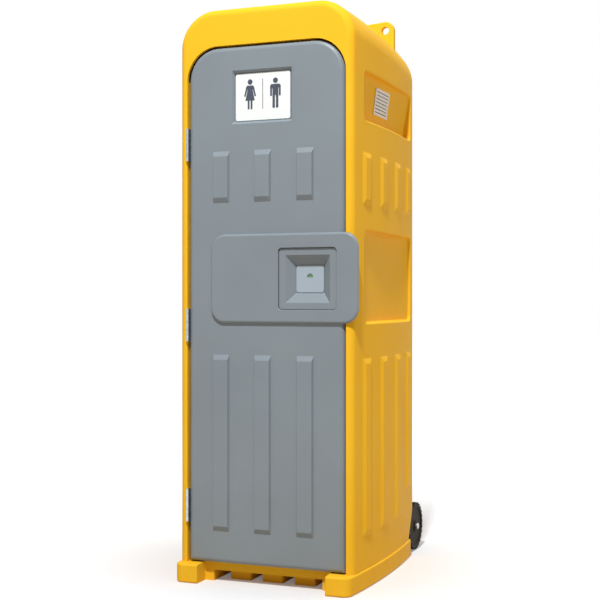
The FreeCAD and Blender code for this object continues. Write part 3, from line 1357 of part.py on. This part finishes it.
os.makedirs("parts", exist_ok=True)
for piece in nodes:
    piece.Shape.exportStep(f"parts/{piece.Label}.step")
print(len(nodes), "pieces")
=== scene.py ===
import json
import math

import bmesh
import bpy
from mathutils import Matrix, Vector

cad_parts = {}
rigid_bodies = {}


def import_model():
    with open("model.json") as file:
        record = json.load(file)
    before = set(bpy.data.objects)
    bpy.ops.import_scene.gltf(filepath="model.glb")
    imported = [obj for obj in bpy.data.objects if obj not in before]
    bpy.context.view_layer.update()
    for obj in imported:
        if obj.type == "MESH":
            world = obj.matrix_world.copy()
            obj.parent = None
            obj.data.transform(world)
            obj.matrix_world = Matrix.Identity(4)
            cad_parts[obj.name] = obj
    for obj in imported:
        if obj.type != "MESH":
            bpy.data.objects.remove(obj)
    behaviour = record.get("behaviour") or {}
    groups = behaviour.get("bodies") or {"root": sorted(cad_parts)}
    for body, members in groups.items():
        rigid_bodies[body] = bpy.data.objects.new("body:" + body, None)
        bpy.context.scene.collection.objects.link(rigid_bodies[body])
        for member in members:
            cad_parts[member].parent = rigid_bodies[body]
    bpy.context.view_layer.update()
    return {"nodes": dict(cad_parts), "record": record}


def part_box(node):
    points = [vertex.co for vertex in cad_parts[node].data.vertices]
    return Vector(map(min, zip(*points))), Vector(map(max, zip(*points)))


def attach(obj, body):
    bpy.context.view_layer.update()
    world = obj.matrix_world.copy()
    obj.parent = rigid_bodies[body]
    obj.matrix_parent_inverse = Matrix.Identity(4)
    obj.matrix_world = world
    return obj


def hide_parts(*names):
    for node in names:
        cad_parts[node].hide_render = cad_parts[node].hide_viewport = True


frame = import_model()

# Portable toilet cabin on wheels. Metres, in the frame of the solids: +Z up, the door faces -Y.

SLOT_OF = {part["node"]: part["material_slot"] for part in frame["record"]["subparts"]}
BODY_OF = {name: body for body, names in frame["record"]["behaviour"]["bodies"].items() for name in names}


# Materials

def linear(code):
    """An sRGB hex colour as linear red, green, blue and alpha."""
    shares = [int(code[i:i + 2], 16) / 255 for i in (1, 3, 5)]
    return [s / 12.92 if s <= 0.04045 else ((s + 0.055) / 1.055) ** 2.4 for s in shares] + [1.0]


def grain(millimetres):
    """The texture scale at which one feature is that many millimetres across."""
    return 1000.0 / millimetres


def add(tree, kind, inputs=None, **settings):
    """Add a shader node with its settings, and feed its inputs from values or from other sockets."""
    made = tree.nodes.new("ShaderNode" + kind)
    for name, value in settings.items():
        setattr(made, name, value)
    for name, value in (inputs or {}).items():
        if isinstance(value, bpy.types.NodeSocket):
            tree.links.new(value, made.inputs[name])
        else:
            made.inputs[name].default_value = value
    return made


# Where a Mix node keeps its two colours and their mix
COLOUR_A, COLOUR_B, COLOUR_OUT = 6, 7, 2


def blend(tree, factor, first, second):
    """Mix two colours, each a hex code or a socket, and give the mixed colour's socket."""
    ends = [end if isinstance(end, bpy.types.NodeSocket) else linear(end) for end in (first, second)]
    mix = add(tree, "Mix", {"Factor": factor, COLOUR_A: ends[0], COLOUR_B: ends[1]}, data_type="RGBA")
    return mix.outputs[COLOUR_OUT]


def noise(tree, place, scale, detail, roughness=0.5):
    """The socket of a noise texture."""
    made = add(tree, "TexNoise", {"Vector": place, "Scale": scale, "Detail": detail, "Roughness": roughness})
    return made.outputs[0]


def remap(tree, value, to, start=(0.0, 1.0)):
    """The socket of a value brought from one range to another, and held within it."""
    made = add(tree, "MapRange", {"Value": value, "From Min": start[0], "From Max": start[1],
                                  "To Min": to[0], "To Max": to[1]})
    return made.outputs[0]


def combine(tree, operation, first, second):
    """The socket of two values put together by that operation."""
    return add(tree, "Math", {0: first, 1: second}, operation=operation).outputs[0]


def relief(tree, height, strength, metres):
    """The socket of a normal that shows a height as fine relief."""
    return add(tree, "Bump", {"Height": height, "Strength": strength, "Distance": metres}).outputs[0]


def blank(name, **surface):
    """A new material, with its tree, its surface shader and the place of each point on the object."""
    made = bpy.data.materials.new(name)
    made.use_nodes = True
    tree = made.node_tree
    skin = tree.nodes["Principled BSDF"]
    for socket, value in surface.items():
        skin.inputs[socket.replace("_", " ")].default_value = value
    place = add(tree, "TexCoord").outputs["Object"]
    return made, tree, skin, place


def feed(tree, skin, **sockets):
    """Link sockets to the surface shader's inputs of those names."""
    for name, socket in sockets.items():
        tree.links.new(socket, skin.inputs[name.replace("_", " ")])


def moulded_polyethylene(name, colour, shade, dust, shine):
    """Rotomoulded polyethylene: satin, faintly cloudy, with a soft orange peel and a little ground dust."""
    made, tree, skin, place = blank(name, IOR=1.51, Specular_IOR_Level=shine)
    cloud = remap(tree, noise(tree, place, grain(380), 3.0), (0.0, 1.0), start=(0.35, 0.65))
    # Dust thins out from the ground up to 0.7 m
    height = add(tree, "SeparateXYZ", {"Vector": place}).outputs["Z"]
    low = remap(tree, height, (0.34, 0.0), start=(0.0, 0.7))
    settled = combine(tree, "MULTIPLY", low, noise(tree, place, grain(45), 5.0, roughness=0.7))
    tone = blend(tree, settled, blend(tree, cloud, colour, shade), dust)
    # Handling leaves fine scuffs that only dull the gloss
    stretched = add(tree, "Mapping", {"Vector": place, "Scale": (grain(160), grain(160), grain(6))})
    scuff = noise(tree, stretched.outputs[0], 1.0, 4.0)
    gloss = remap(tree, scuff, (0.38, 0.52), start=(0.4, 0.75))
    # Real peel is 2 to 3 mm across, too fine to show here, so it is drawn at 9 mm
    peel = relief(tree, noise(tree, place, grain(9), 1.0), 0.10, 0.0008)
    feed(tree, skin, Base_Color=tone, Roughness=gloss, Normal=peel)
    return made


def moulded_abs(name, colour, shade, rough, pit, shine=0.5):
    """Injection moulded plastic: even colour, and spark-eroded pits of that many millimetres."""
    made, tree, skin, place = blank(name, IOR=1.54, Specular_IOR_Level=shine)
    cloud = noise(tree, place, grain(60), 2.0)
    tone = blend(tree, cloud, colour, shade)
    gloss = remap(tree, cloud, (rough - 0.06, rough + 0.06))
    spark = relief(tree, noise(tree, place, grain(pit), 2.0), 0.08, 0.0004)
    feed(tree, skin, Base_Color=tone, Roughness=gloss, Normal=spark)
    return made


def zinc_plated_steel():
    """Zinc plate: bright grey metal with soft crystal patches and faint rolling lines."""
    made, tree, skin, place = blank("zinc_plated_steel", Metallic=1.0)
    patch = add(tree, "TexVoronoi", {"Vector": place, "Scale": grain(11)})
    tone = blend(tree, patch.outputs["Distance"], "#C4C8CA", "#A4A9AC")
    rolled = add(tree, "Mapping", {"Vector": place, "Scale": (grain(1.5), grain(1.5), grain(60))})
    line = noise(tree, rolled.outputs[0], 1.0, 3.0)
    gloss = remap(tree, line, (0.24, 0.46))
    feed(tree, skin, Base_Color=tone, Roughness=gloss, Normal=relief(tree, line, 0.06, 0.0003))
    return made


def moulded_rubber(name, colour, bloom, pit):
    """Vulcanised rubber: matt black with a greyish bloom and a fine gritty skin."""
    made, tree, skin, place = blank(name, IOR=1.52, Specular_IOR_Level=0.2)
    cloud = noise(tree, place, grain(22), 5.0, roughness=0.65)
    cloud = remap(tree, cloud, (0.0, 1.0), start=(0.42, 0.72))
    tone = blend(tree, cloud, colour, bloom)
    gloss = remap(tree, cloud, (0.55, 0.8))
    grit = relief(tree, noise(tree, place, grain(pit), 3.0), 0.25, 0.0005)
    feed(tree, skin, Base_Color=tone, Roughness=gloss, Normal=grit)
    return made


def printed_film(name, colour, shade, rough):
    """Screen-printed film: flat ink with a slight mottle and a smooth top coat."""
    made, tree, skin, place = blank(name, IOR=1.49)
    mottle = noise(tree, place, grain(14), 4.0)
    tone = blend(tree, mottle, colour, shade)
    gloss = remap(tree, mottle, (rough - 0.05, rough + 0.05))
    feed(tree, skin, Base_Color=tone, Roughness=gloss)
    return made


def clear_acrylic():
    """Acrylic window: clear, glossy, with the field behind it showing through."""
    made, tree, skin, place = blank("clear_acrylic", IOR=1.49, Alpha=0.06)
    haze = noise(tree, place, grain(5), 3.0)
    feed(tree, skin, Roughness=remap(tree, haze, (0.05, 0.14)))
    return made


def tissue_paper(centre):
    """Soft tissue wound on a core: quilted skin, and rings on the ends of the roll."""
    made, tree, skin, place = blank("tissue_paper", Roughness=0.95, IOR=1.45)
    from_core = add(tree, "Mapping", {"Vector": place, "Location": [-c for c in centre]})
    # Single layers are too fine to show, so the rings are drawn broad.
    # A wave texture runs 20 radians per unit.
    rings = add(tree, "TexWave", {"Vector": from_core.outputs[0], "Scale": grain(18.85) * math.tau / 20,
                                  "Distortion": 1.5}, wave_type="RINGS", rings_direction="Y")
    tone = blend(tree, rings.outputs[1], "#F1F0EC", "#D9D7D1")
    quilt = add(tree, "TexVoronoi", {"Vector": place, "Scale": grain(9)})
    feed(tree, skin, Base_Color=tone, Normal=relief(tree, quilt.outputs["Distance"], 0.3, 0.0008))
    return made


paper_low, paper_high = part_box("paper_roll")

MATERIALS = {
    "yellow_shell": moulded_polyethylene(
        "yellow_rotomoulded_polyethylene", "#FCC332", "#FABF2C", "#D8A028", shine=0.02),
    "door_grey": moulded_polyethylene(
        "grey_rotomoulded_polyethylene", "#848E96", "#808991", "#8A867E", shine=0.35),
    "tank_grey": moulded_polyethylene(
        "pale_grey_polyethylene", "#A3A8AA", "#9BA1A3", "#8B887F", shine=0.3),
    "latch_silver": moulded_abs("silver_grey_abs", "#A4B1BE", "#9DAAB7", rough=0.38, pit=2.5),
    "sign_white": moulded_abs("white_sign_laminate", "#F3F7F7", "#ECF1F2", rough=0.3, pit=4.0),
    "vent_white": moulded_abs("white_vent_abs", "#EAE8E5", "#E0DDD9", rough=0.5, pit=2.0),
    "seat_black": moulded_abs("black_thermoset", "#161617", "#1D1D1F", rough=0.24, pit=6.0),
    "hub_black": moulded_abs("black_polypropylene", "#211A10", "#272015", rough=0.6, pit=3.0, shine=0.08),
    "zinc_steel": zinc_plated_steel(),
    "black_rubber": moulded_rubber("black_epdm_rubber", "#1C1C1E", "#2B2B2C", pit=2.0),
    "tyre_black": moulded_rubber("solid_tyre_rubber", "#141518", "#201F1D", pit=2.5),
    "sign_slate": printed_film("slate_sign_print", "#3F4555", "#474D5D", rough=0.4),
    "indicator_green": printed_film("green_field_print", "#117A30", "#0F7029", rough=0.35),
    "indicator_red": printed_film("red_field_print", "#B81D1A", "#AC1916", rough=0.35),
    "clear_window": clear_acrylic(),
    "paper_white": tissue_paper((paper_low + paper_high) / 2),
}


# Modelling helpers

WELD = 0.00002
FLAT = math.radians(0.3)
CREASE = math.radians(14)
HARD_EDGE = math.radians(30)
QUARTER = math.radians(90)
# How much of a face's normal lies along an axis when the face looks that way
FACING = 0.9


def select_only(piece):
    """Make a piece the only selected one, and the active one."""
    bpy.ops.object.select_all(action="DESELECT")
    piece.hide_set(False)
    piece.select_set(True)
    bpy.context.view_layer.objects.active = piece


def choose(piece, kind, test):
    """In edit mode, select only the faces or edges that pass the test."""
    bpy.ops.mesh.select_mode(type=kind)
    bpy.ops.mesh.select_all(action="DESELECT")
    mesh = bmesh.from_edit_mesh(piece.data)
    for part in mesh.faces if kind == "FACE" else mesh.edges:
        if test(part):
            part.select_set(True)
    mesh.select_flush_mode()
    bmesh.update_edit_mesh(piece.data)


def settle():
    """Move the place, turn and scale of the selected pieces into their meshes."""
    bpy.ops.object.transform_apply(location=True, rotation=True, scale=True)


def dress(piece, name, body, slot, *nodes, angle=35):
    """Give a modelled piece its place, shading and finish, and hang it on its body."""
    select_only(piece)
    settle()
    bpy.ops.object.shade_smooth_by_angle(angle=math.radians(angle))
    piece.name = name
    piece.data.name = name
    piece.data.materials.clear()
    piece.data.materials.append(MATERIALS[slot])
    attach(piece, body)
    if nodes:
        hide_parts(*nodes)


def apply_modifier(piece, kind, **settings):
    """Add a modifier with its settings and apply it."""
    select_only(piece)
    modifier = piece.modifiers.new(kind.lower(), kind)
    for name, value in settings.items():
        setattr(modifier, name, value)
    bpy.ops.object.modifier_apply(modifier=modifier.name)


def round_edges(piece, width):
    """Round the hard edges of a whole piece."""
    apply_modifier(piece, "BEVEL", width=width, segments=2, limit_method="ANGLE", angle_limit=HARD_EDGE)


def joined_copy(name):
    """A copy of a CAD solid with its loose triangles joined into whole faces."""
    select_only(frame["nodes"][name])
    bpy.ops.object.duplicate()
    piece = bpy.context.object
    bpy.ops.object.parent_clear(type="CLEAR_KEEP_TRANSFORM")
    for key in list(piece.keys()):
        del piece[key]
    bpy.ops.mesh.customdata_custom_splitnormals_clear()
    bpy.ops.object.mode_set(mode="EDIT")
    bpy.ops.mesh.select_all(action="SELECT")
    bpy.ops.mesh.remove_doubles(threshold=WELD)
    bpy.ops.mesh.dissolve_limited(angle_limit=FLAT)
    bpy.ops.object.mode_set(mode="OBJECT")
    return piece


def soft_skin(name, reshape=None):
    """Stand for a CAD solid with a joined copy whose round edges are shaded smooth."""
    piece = joined_copy(name)
    if reshape:
        bpy.ops.object.mode_set(mode="EDIT")
        reshape(piece)
        bpy.ops.object.mode_set(mode="OBJECT")
    dress(piece, name + "_skin", BODY_OF[name], SLOT_OF[name], name)
    # A crease where a flat slope meets its ground stays crisp, however shallow
    bpy.ops.object.mode_set(mode="EDIT")
    choose(piece, "EDGE", lambda e: e.is_manifold and not e.is_convex and e.calc_face_angle() > CREASE)
    bpy.ops.mesh.mark_sharp()
    bpy.ops.object.mode_set(mode="OBJECT")
    apply_modifier(piece, "WEIGHTED_NORMAL", keep_sharp=True, weight=80)


# Every solid first takes the finish of its slot

for name, solid in frame["nodes"].items():
    for slot in solid.material_slots:
        slot.material = MATERIALS[SLOT_OF[name]]


# Base and door

FOOT_INNER, FOOT_BACK, FOOT_ROUND = 0.262, -0.34, 0.0062
FOOT_EDGE = math.radians(60)
ON_PLANE = 0.0005


def round_feet(base):
    """Round the inner front edges of both feet, above the ground."""
    def is_inner(point):
        on_side = abs(abs(point.x) - FOOT_INNER) < ON_PLANE
        return on_side and point.y < FOOT_BACK and point.z > ON_PLANE

    choose(base, "EDGE", lambda e: e.is_manifold and e.calc_face_angle() > FOOT_EDGE
           and all(is_inner(v.co) for v in e.verts))
    bpy.ops.mesh.bevel(offset=FOOT_ROUND, segments=5, clamp_overlap=False)


RIB_MIDDLE, RIB_PITCH = -0.006, 0.173
RIB_CREST, RIB_WIDEN = 0.0013, 0.0037


def steepen_ribs(door):
    """Widen the tops of the door's ribs, so that their flanks stand steeper, as in the photograph."""
    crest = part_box("door_outer_panel")[0].y + RIB_CREST

    def from_middle(x):
        return (x - RIB_MIDDLE + RIB_PITCH * 1.5) % RIB_PITCH - RIB_PITCH / 2

    for way in (-1, 1):
        choose(door, "EDGE", lambda e: all(
            v.co.y < crest and way * from_middle(v.co.x) > 0 for v in e.verts))
        bpy.ops.transform.translate(value=(way * RIB_WIDEN, 0, 0))


soft_skin("base_pallet", reshape=round_feet)
soft_skin("door_outer_panel", reshape=steepen_ribs)

SOFT = [
    "cabin_shell", "handle_plate", "latch_bezel", "lifting_lug_left", "lifting_lug_right", "sign_plate",
    "indicator_cover", "wheel_hub_left", "wheel_hub_right", "axle_cap_left", "axle_cap_right", "seat_ring",
    "toilet_lid", "waste_tank", "vent_pipe", "vent_cowl", "inner_pull", "coat_hook", "thumb_turn",
    "paper_roll", "axle", "lifting_rod_left", "lifting_rod_right",
]
for name in SOFT:
    soft_skin(name)


# Tyres

LUGS, LUG_HEIGHT, LUG_ROUND = 27, 0.0045, 0.0011
SIDE_GROOVE, GROOVE_DEPTH = 0.003, 0.0015


def make_tyre(side):
    """A solid tyre: a ring with cross lugs and a groove round each sidewall."""
    node = "wheel_tyre_" + side
    low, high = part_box(node)
    middle = (low + high) / 2
    tread = (high.z - low.z) / 2 - LUG_HEIGHT
    rim_low, rim_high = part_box("wheel_hub_" + side)
    rim = (rim_high.z - rim_low.z) / 2

    def is_sidewall(face):
        return abs(face.normal.x) > FACING

    def is_lug(face):
        out = face.calc_center_median() - middle
        step = math.atan2(out.z, out.y) / math.tau * 2 * LUGS
        on_tread = abs(face.normal.x) < 1 - FACING and math.hypot(out.y, out.z) > (tread + rim) / 2
        return on_tread and math.floor(step) % 2 == 0

    bpy.ops.mesh.primitive_cylinder_add(vertices=2 * LUGS, radius=tread, depth=high.x - low.x,
                                        location=middle, rotation=(0, QUARTER, 0))
    tyre = bpy.context.object
    settle()
    bpy.ops.object.mode_set(mode="EDIT")
    choose(tyre, "FACE", is_sidewall)
    bpy.ops.mesh.inset(thickness=tread - rim)
    bpy.ops.mesh.delete(type="FACE")
    choose(tyre, "EDGE", lambda e: e.is_boundary)
    bpy.ops.mesh.bridge_edge_loops()
    bpy.ops.mesh.select_all(action="SELECT")
    bpy.ops.mesh.normals_make_consistent(inside=False)
    choose(tyre, "FACE", is_sidewall)
    bpy.ops.mesh.inset(thickness=SIDE_GROOVE)
    bpy.ops.mesh.extrude_region_shrink_fatten(TRANSFORM_OT_shrink_fatten={"value": -GROOVE_DEPTH})
    choose(tyre, "FACE", is_lug)
    bpy.ops.mesh.extrude_region_shrink_fatten(TRANSFORM_OT_shrink_fatten={"value": LUG_HEIGHT})
    bpy.ops.object.mode_set(mode="OBJECT")
    round_edges(tyre, LUG_ROUND)
    dress(tyre, "tyre_" + side, BODY_OF[node], "tyre_black", node)


for side in ("left", "right"):
    make_tyre(side)


# Hex bolts that hold the axle brackets

WASHER_ROUND = 0.0003
HEAD_SHARE, HEAD_ROUND = 0.88, 0.0012


def make_bracket_bolts():
    """Hex heads on washers: one is modelled, and the other three are copies."""
    low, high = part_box("bracket_bolts")
    radius = (high.z - low.z) / 2
    up = (low.z + high.z) / 2
    washer = (high.y - low.y) / 4
    left_low, left_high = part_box("axle_bracket_left")
    right_low, right_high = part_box("axle_bracket_right")
    spread = (left_high.x - left_low.x) / 3
    left, right = (left_low.x + left_high.x) / 2, (right_low.x + right_high.x) / 2
    first, *others = left - spread, left + spread, right - spread, right + spread
    along_y = (QUARTER, 0, 0)

    bpy.ops.mesh.primitive_cylinder_add(vertices=32, radius=radius, depth=washer, rotation=along_y,
                                        location=(first, low.y + washer / 2, up))
    ring = bpy.context.object
    round_edges(ring, WASHER_ROUND)
    bpy.ops.mesh.primitive_cylinder_add(vertices=6, radius=radius * HEAD_SHARE,
                                        depth=high.y - low.y - washer, rotation=along_y,
                                        location=(first, (low.y + washer + high.y) / 2, up))
    head = bpy.context.object
    settle()
    bpy.ops.object.mode_set(mode="EDIT")
    choose(head, "FACE", lambda f: f.normal.y > FACING)
    bpy.ops.mesh.bevel(offset=HEAD_ROUND, segments=2)
    bpy.ops.object.mode_set(mode="OBJECT")
    select_only(head)
    ring.select_set(True)
    bpy.ops.object.join()
    bolts = [bpy.context.object]
    for x in others:
        select_only(bolts[0])
        bpy.ops.object.duplicate()
        bpy.ops.transform.translate(value=(x - first, 0, 0))
        bolts.append(bpy.context.object)
    for bolt in bolts:
        bolt.select_set(True)
    bpy.ops.object.join()
    dress(bpy.context.object, "bracket_bolt_heads", "cabin", "zinc_steel", "bracket_bolts", angle=25)


make_bracket_bolts()


# Floor mat

STUD_PITCH, STUD_RADIUS = 0.041, 0.0115
STUD_HEIGHT, STUD_ROUND = 0.0016, 0.0009


def make_floor_mat():
    """A rubber mat with rows of round studs that stop a foot from slipping."""
    low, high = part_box("floor_mat")
    middle = (low + high) / 2
    columns = int((high.x - low.x) / STUD_PITCH)
    rows = int((high.y - low.y) / STUD_PITCH)
    corner = (middle.x - (columns - 1) / 2 * STUD_PITCH, middle.y - (rows - 1) / 2 * STUD_PITCH,
              high.z + STUD_HEIGHT / 2)
    mat = joined_copy("floor_mat")
    bpy.ops.mesh.primitive_cylinder_add(vertices=18, radius=STUD_RADIUS, depth=STUD_HEIGHT, location=corner)
    stud = bpy.context.object
    settle()
    bpy.ops.object.mode_set(mode="EDIT")
    choose(stud, "FACE", lambda f: f.normal.z > FACING)
    bpy.ops.mesh.bevel(offset=STUD_ROUND, segments=2)
    choose(stud, "FACE", lambda f: f.normal.z < -FACING)
    bpy.ops.mesh.delete(type="FACE")
    bpy.ops.object.mode_set(mode="OBJECT")
    for count, step in ((columns, (STUD_PITCH, 0, 0)), (rows, (0, STUD_PITCH, 0))):
        apply_modifier(stud, "ARRAY", count=count, use_relative_offset=False, use_constant_offset=True,
                       constant_offset_displace=step)
    select_only(mat)
    stud.select_set(True)
    bpy.ops.object.join()
    dress(mat, "studded_floor_mat", "cabin", "black_rubber", "floor_mat")


make_floor_mat()


# Vents

VENT_RISE, VENT_PLATE, VENT_BORDER, VENT_ROUND = 0.105, 0.004, 0.011, 0.0006
# The floor of the recess comes out by 26 mm while it rises by 185 mm
VENT_LEAN = math.atan2(0.026, 0.185)
SLOTS, SLOT_RISE = 7, 0.0032


def block(thick, width, rise, up=0.0):
    """An upright block, given by its size and by how high its middle is."""
    bpy.ops.mesh.primitive_cube_add(size=1, location=(0, 0, up))
    bpy.ops.transform.resize(value=(thick, width, rise))
    settle()
    return bpy.context.object


def make_vent(side, out):
    """A vent plate with open slots, leaning as the floor of its recess does."""
    node = "vent_grille_" + side
    low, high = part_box(node)
    width = high.y - low.y
    reach = VENT_RISE / 2 * math.sin(VENT_LEAN) + VENT_PLATE / 2 * math.cos(VENT_LEAN)
    pitch = (VENT_RISE - 2 * VENT_BORDER - SLOT_RISE) / (SLOTS - 1)
    vent = block(VENT_PLATE, width, VENT_RISE)
    for step in range(SLOTS):
        up = (step - (SLOTS - 1) / 2) * pitch
        slot = block(2 * VENT_PLATE, width - 2 * VENT_BORDER, SLOT_RISE, up)
        apply_modifier(vent, "BOOLEAN", operation="DIFFERENCE", solver="EXACT", object=slot)
        select_only(slot)
        bpy.ops.object.delete()
    round_edges(vent, VENT_ROUND)
    vent.rotation_euler = (0, out * VENT_LEAN, 0)
    vent.location = (low + high) / 2
    vent.location.x = high.x - reach if out > 0 else low.x + reach
    dress(vent, "slotted_vent_" + side, BODY_OF[node], SLOT_OF[node], node)


for side, out in (("left", -1), ("right", 1)):
    make_vent(side, out)


# Sign figures

FIGURE_ROUND = 0.0022
FIGURE_CORNER = math.radians(40)


def round_figure(name):
    """A pictogram with the corners of its limbs rounded off."""
    def is_corner(edge):
        along = (edge.verts[1].co - edge.verts[0].co).normalized()
        return abs(along.y) > 0.99 and edge.is_manifold and edge.calc_face_angle() > FIGURE_CORNER

    piece = joined_copy(name)
    bpy.ops.object.mode_set(mode="EDIT")
    choose(piece, "EDGE", is_corner)
    bpy.ops.mesh.bevel(offset=FIGURE_ROUND, segments=4, clamp_overlap=True)
    bpy.ops.object.mode_set(mode="OBJECT")
    dress(piece, name + "_print", BODY_OF[name], SLOT_OF[name], name)


for name in ("sign_woman", "sign_man"):
    round_figure(name)


# Stage: pale floor, soft light and the camera

FLOOR_SIZE = 60
FLOOR_LIT, FLOOR_SEEN = "#CDBFAC", "#DAD8D9"
GLOW_RANGE, GLOW_STRENGTH = (0.45, 2.0), (0.14, 0.85)
SKY_STRENGTH = (0.2, 1.0)
LAMP_TARGET = Vector((0, 0, 1.1))
# Place, width, power and colour of each lamp
LAMPS = {
    "key_light": ((1.15, -4.68, 8.07), 0.5, 805, (0.98, 1.0, 1.0)),
    "right_fill": ((3.9, 2.6, 2.6), 2.5, 46, (1.0, 0.94, 0.84)),
}
CAMERA_PLACE = (1.810, -4.541, 1.090)
CAMERA_TURN = (QUARTER, 0, math.radians(21.7))
CAMERA_LENS, CAMERA_SENSOR = 72, 36


def seen_rays(tree):
    """The socket that is 1 for rays that show a point: straight, mirrored or through something clear."""
    path = add(tree, "LightPath").outputs
    rays = combine(tree, "MAXIMUM", path["Is Camera Ray"], path["Is Glossy Ray"])
    return combine(tree, "MAXIMUM", rays, path["Is Transmission Ray"])


def make_floor():
    """A floor that keeps the shadow near the object, and fades into the white background further out."""
    bpy.ops.mesh.primitive_plane_add(size=FLOOR_SIZE)
    floor = bpy.context.object
    floor.name = "studio_floor"
    made, tree, skin, place = blank("pale_studio_floor", Roughness=0.9, Emission_Color=(1, 1, 1, 1))
    rays = seen_rays(tree)
    away = add(tree, "VectorMath", {0: place}, operation="LENGTH").outputs["Value"]
    # Painted light: to the camera the floor glows faintly near the object and more strongly farther out,
    # which lightens the object's shadow on the floor away from the object
    glow = combine(tree, "MULTIPLY", rays, remap(tree, away, GLOW_STRENGTH, start=GLOW_RANGE))
    feed(tree, skin, Base_Color=blend(tree, rays, FLOOR_LIT, FLOOR_SEEN), Emission_Strength=glow)
    floor.data.materials.append(made)


def make_world():
    """A white room that looks brighter than it lights."""
    world = bpy.data.worlds.new("white_room")
    bpy.context.scene.world = world
    world.use_nodes = True
    tree = world.node_tree
    back = tree.nodes["Background"]
    back.inputs["Color"].default_value = (1, 1, 1, 1)
    feed(tree, back, Strength=remap(tree, seen_rays(tree), SKY_STRENGTH))


def make_lamps_and_camera():
    """A key light high in front, a soft fill from the right, and the camera as in the photograph."""
    for name, (place, width, power, colour) in LAMPS.items():
        turn = (LAMP_TARGET - Vector(place)).to_track_quat("-Z", "Y").to_euler()
        bpy.ops.object.light_add(type="AREA", location=place, rotation=turn)
        lamp = bpy.context.object
        lamp.name = name
        lamp.data.size = width
        lamp.data.energy = power
        lamp.data.color = colour
    bpy.ops.object.camera_add(location=CAMERA_PLACE, rotation=CAMERA_TURN)
    camera = bpy.context.object
    camera.data.lens = CAMERA_LENS
    camera.data.sensor_width = CAMERA_SENSOR
    bpy.context.scene.camera = camera


make_floor()
make_world()
make_lamps_and_camera()
bpy.context.scene.view_settings.view_transform = "Standard"
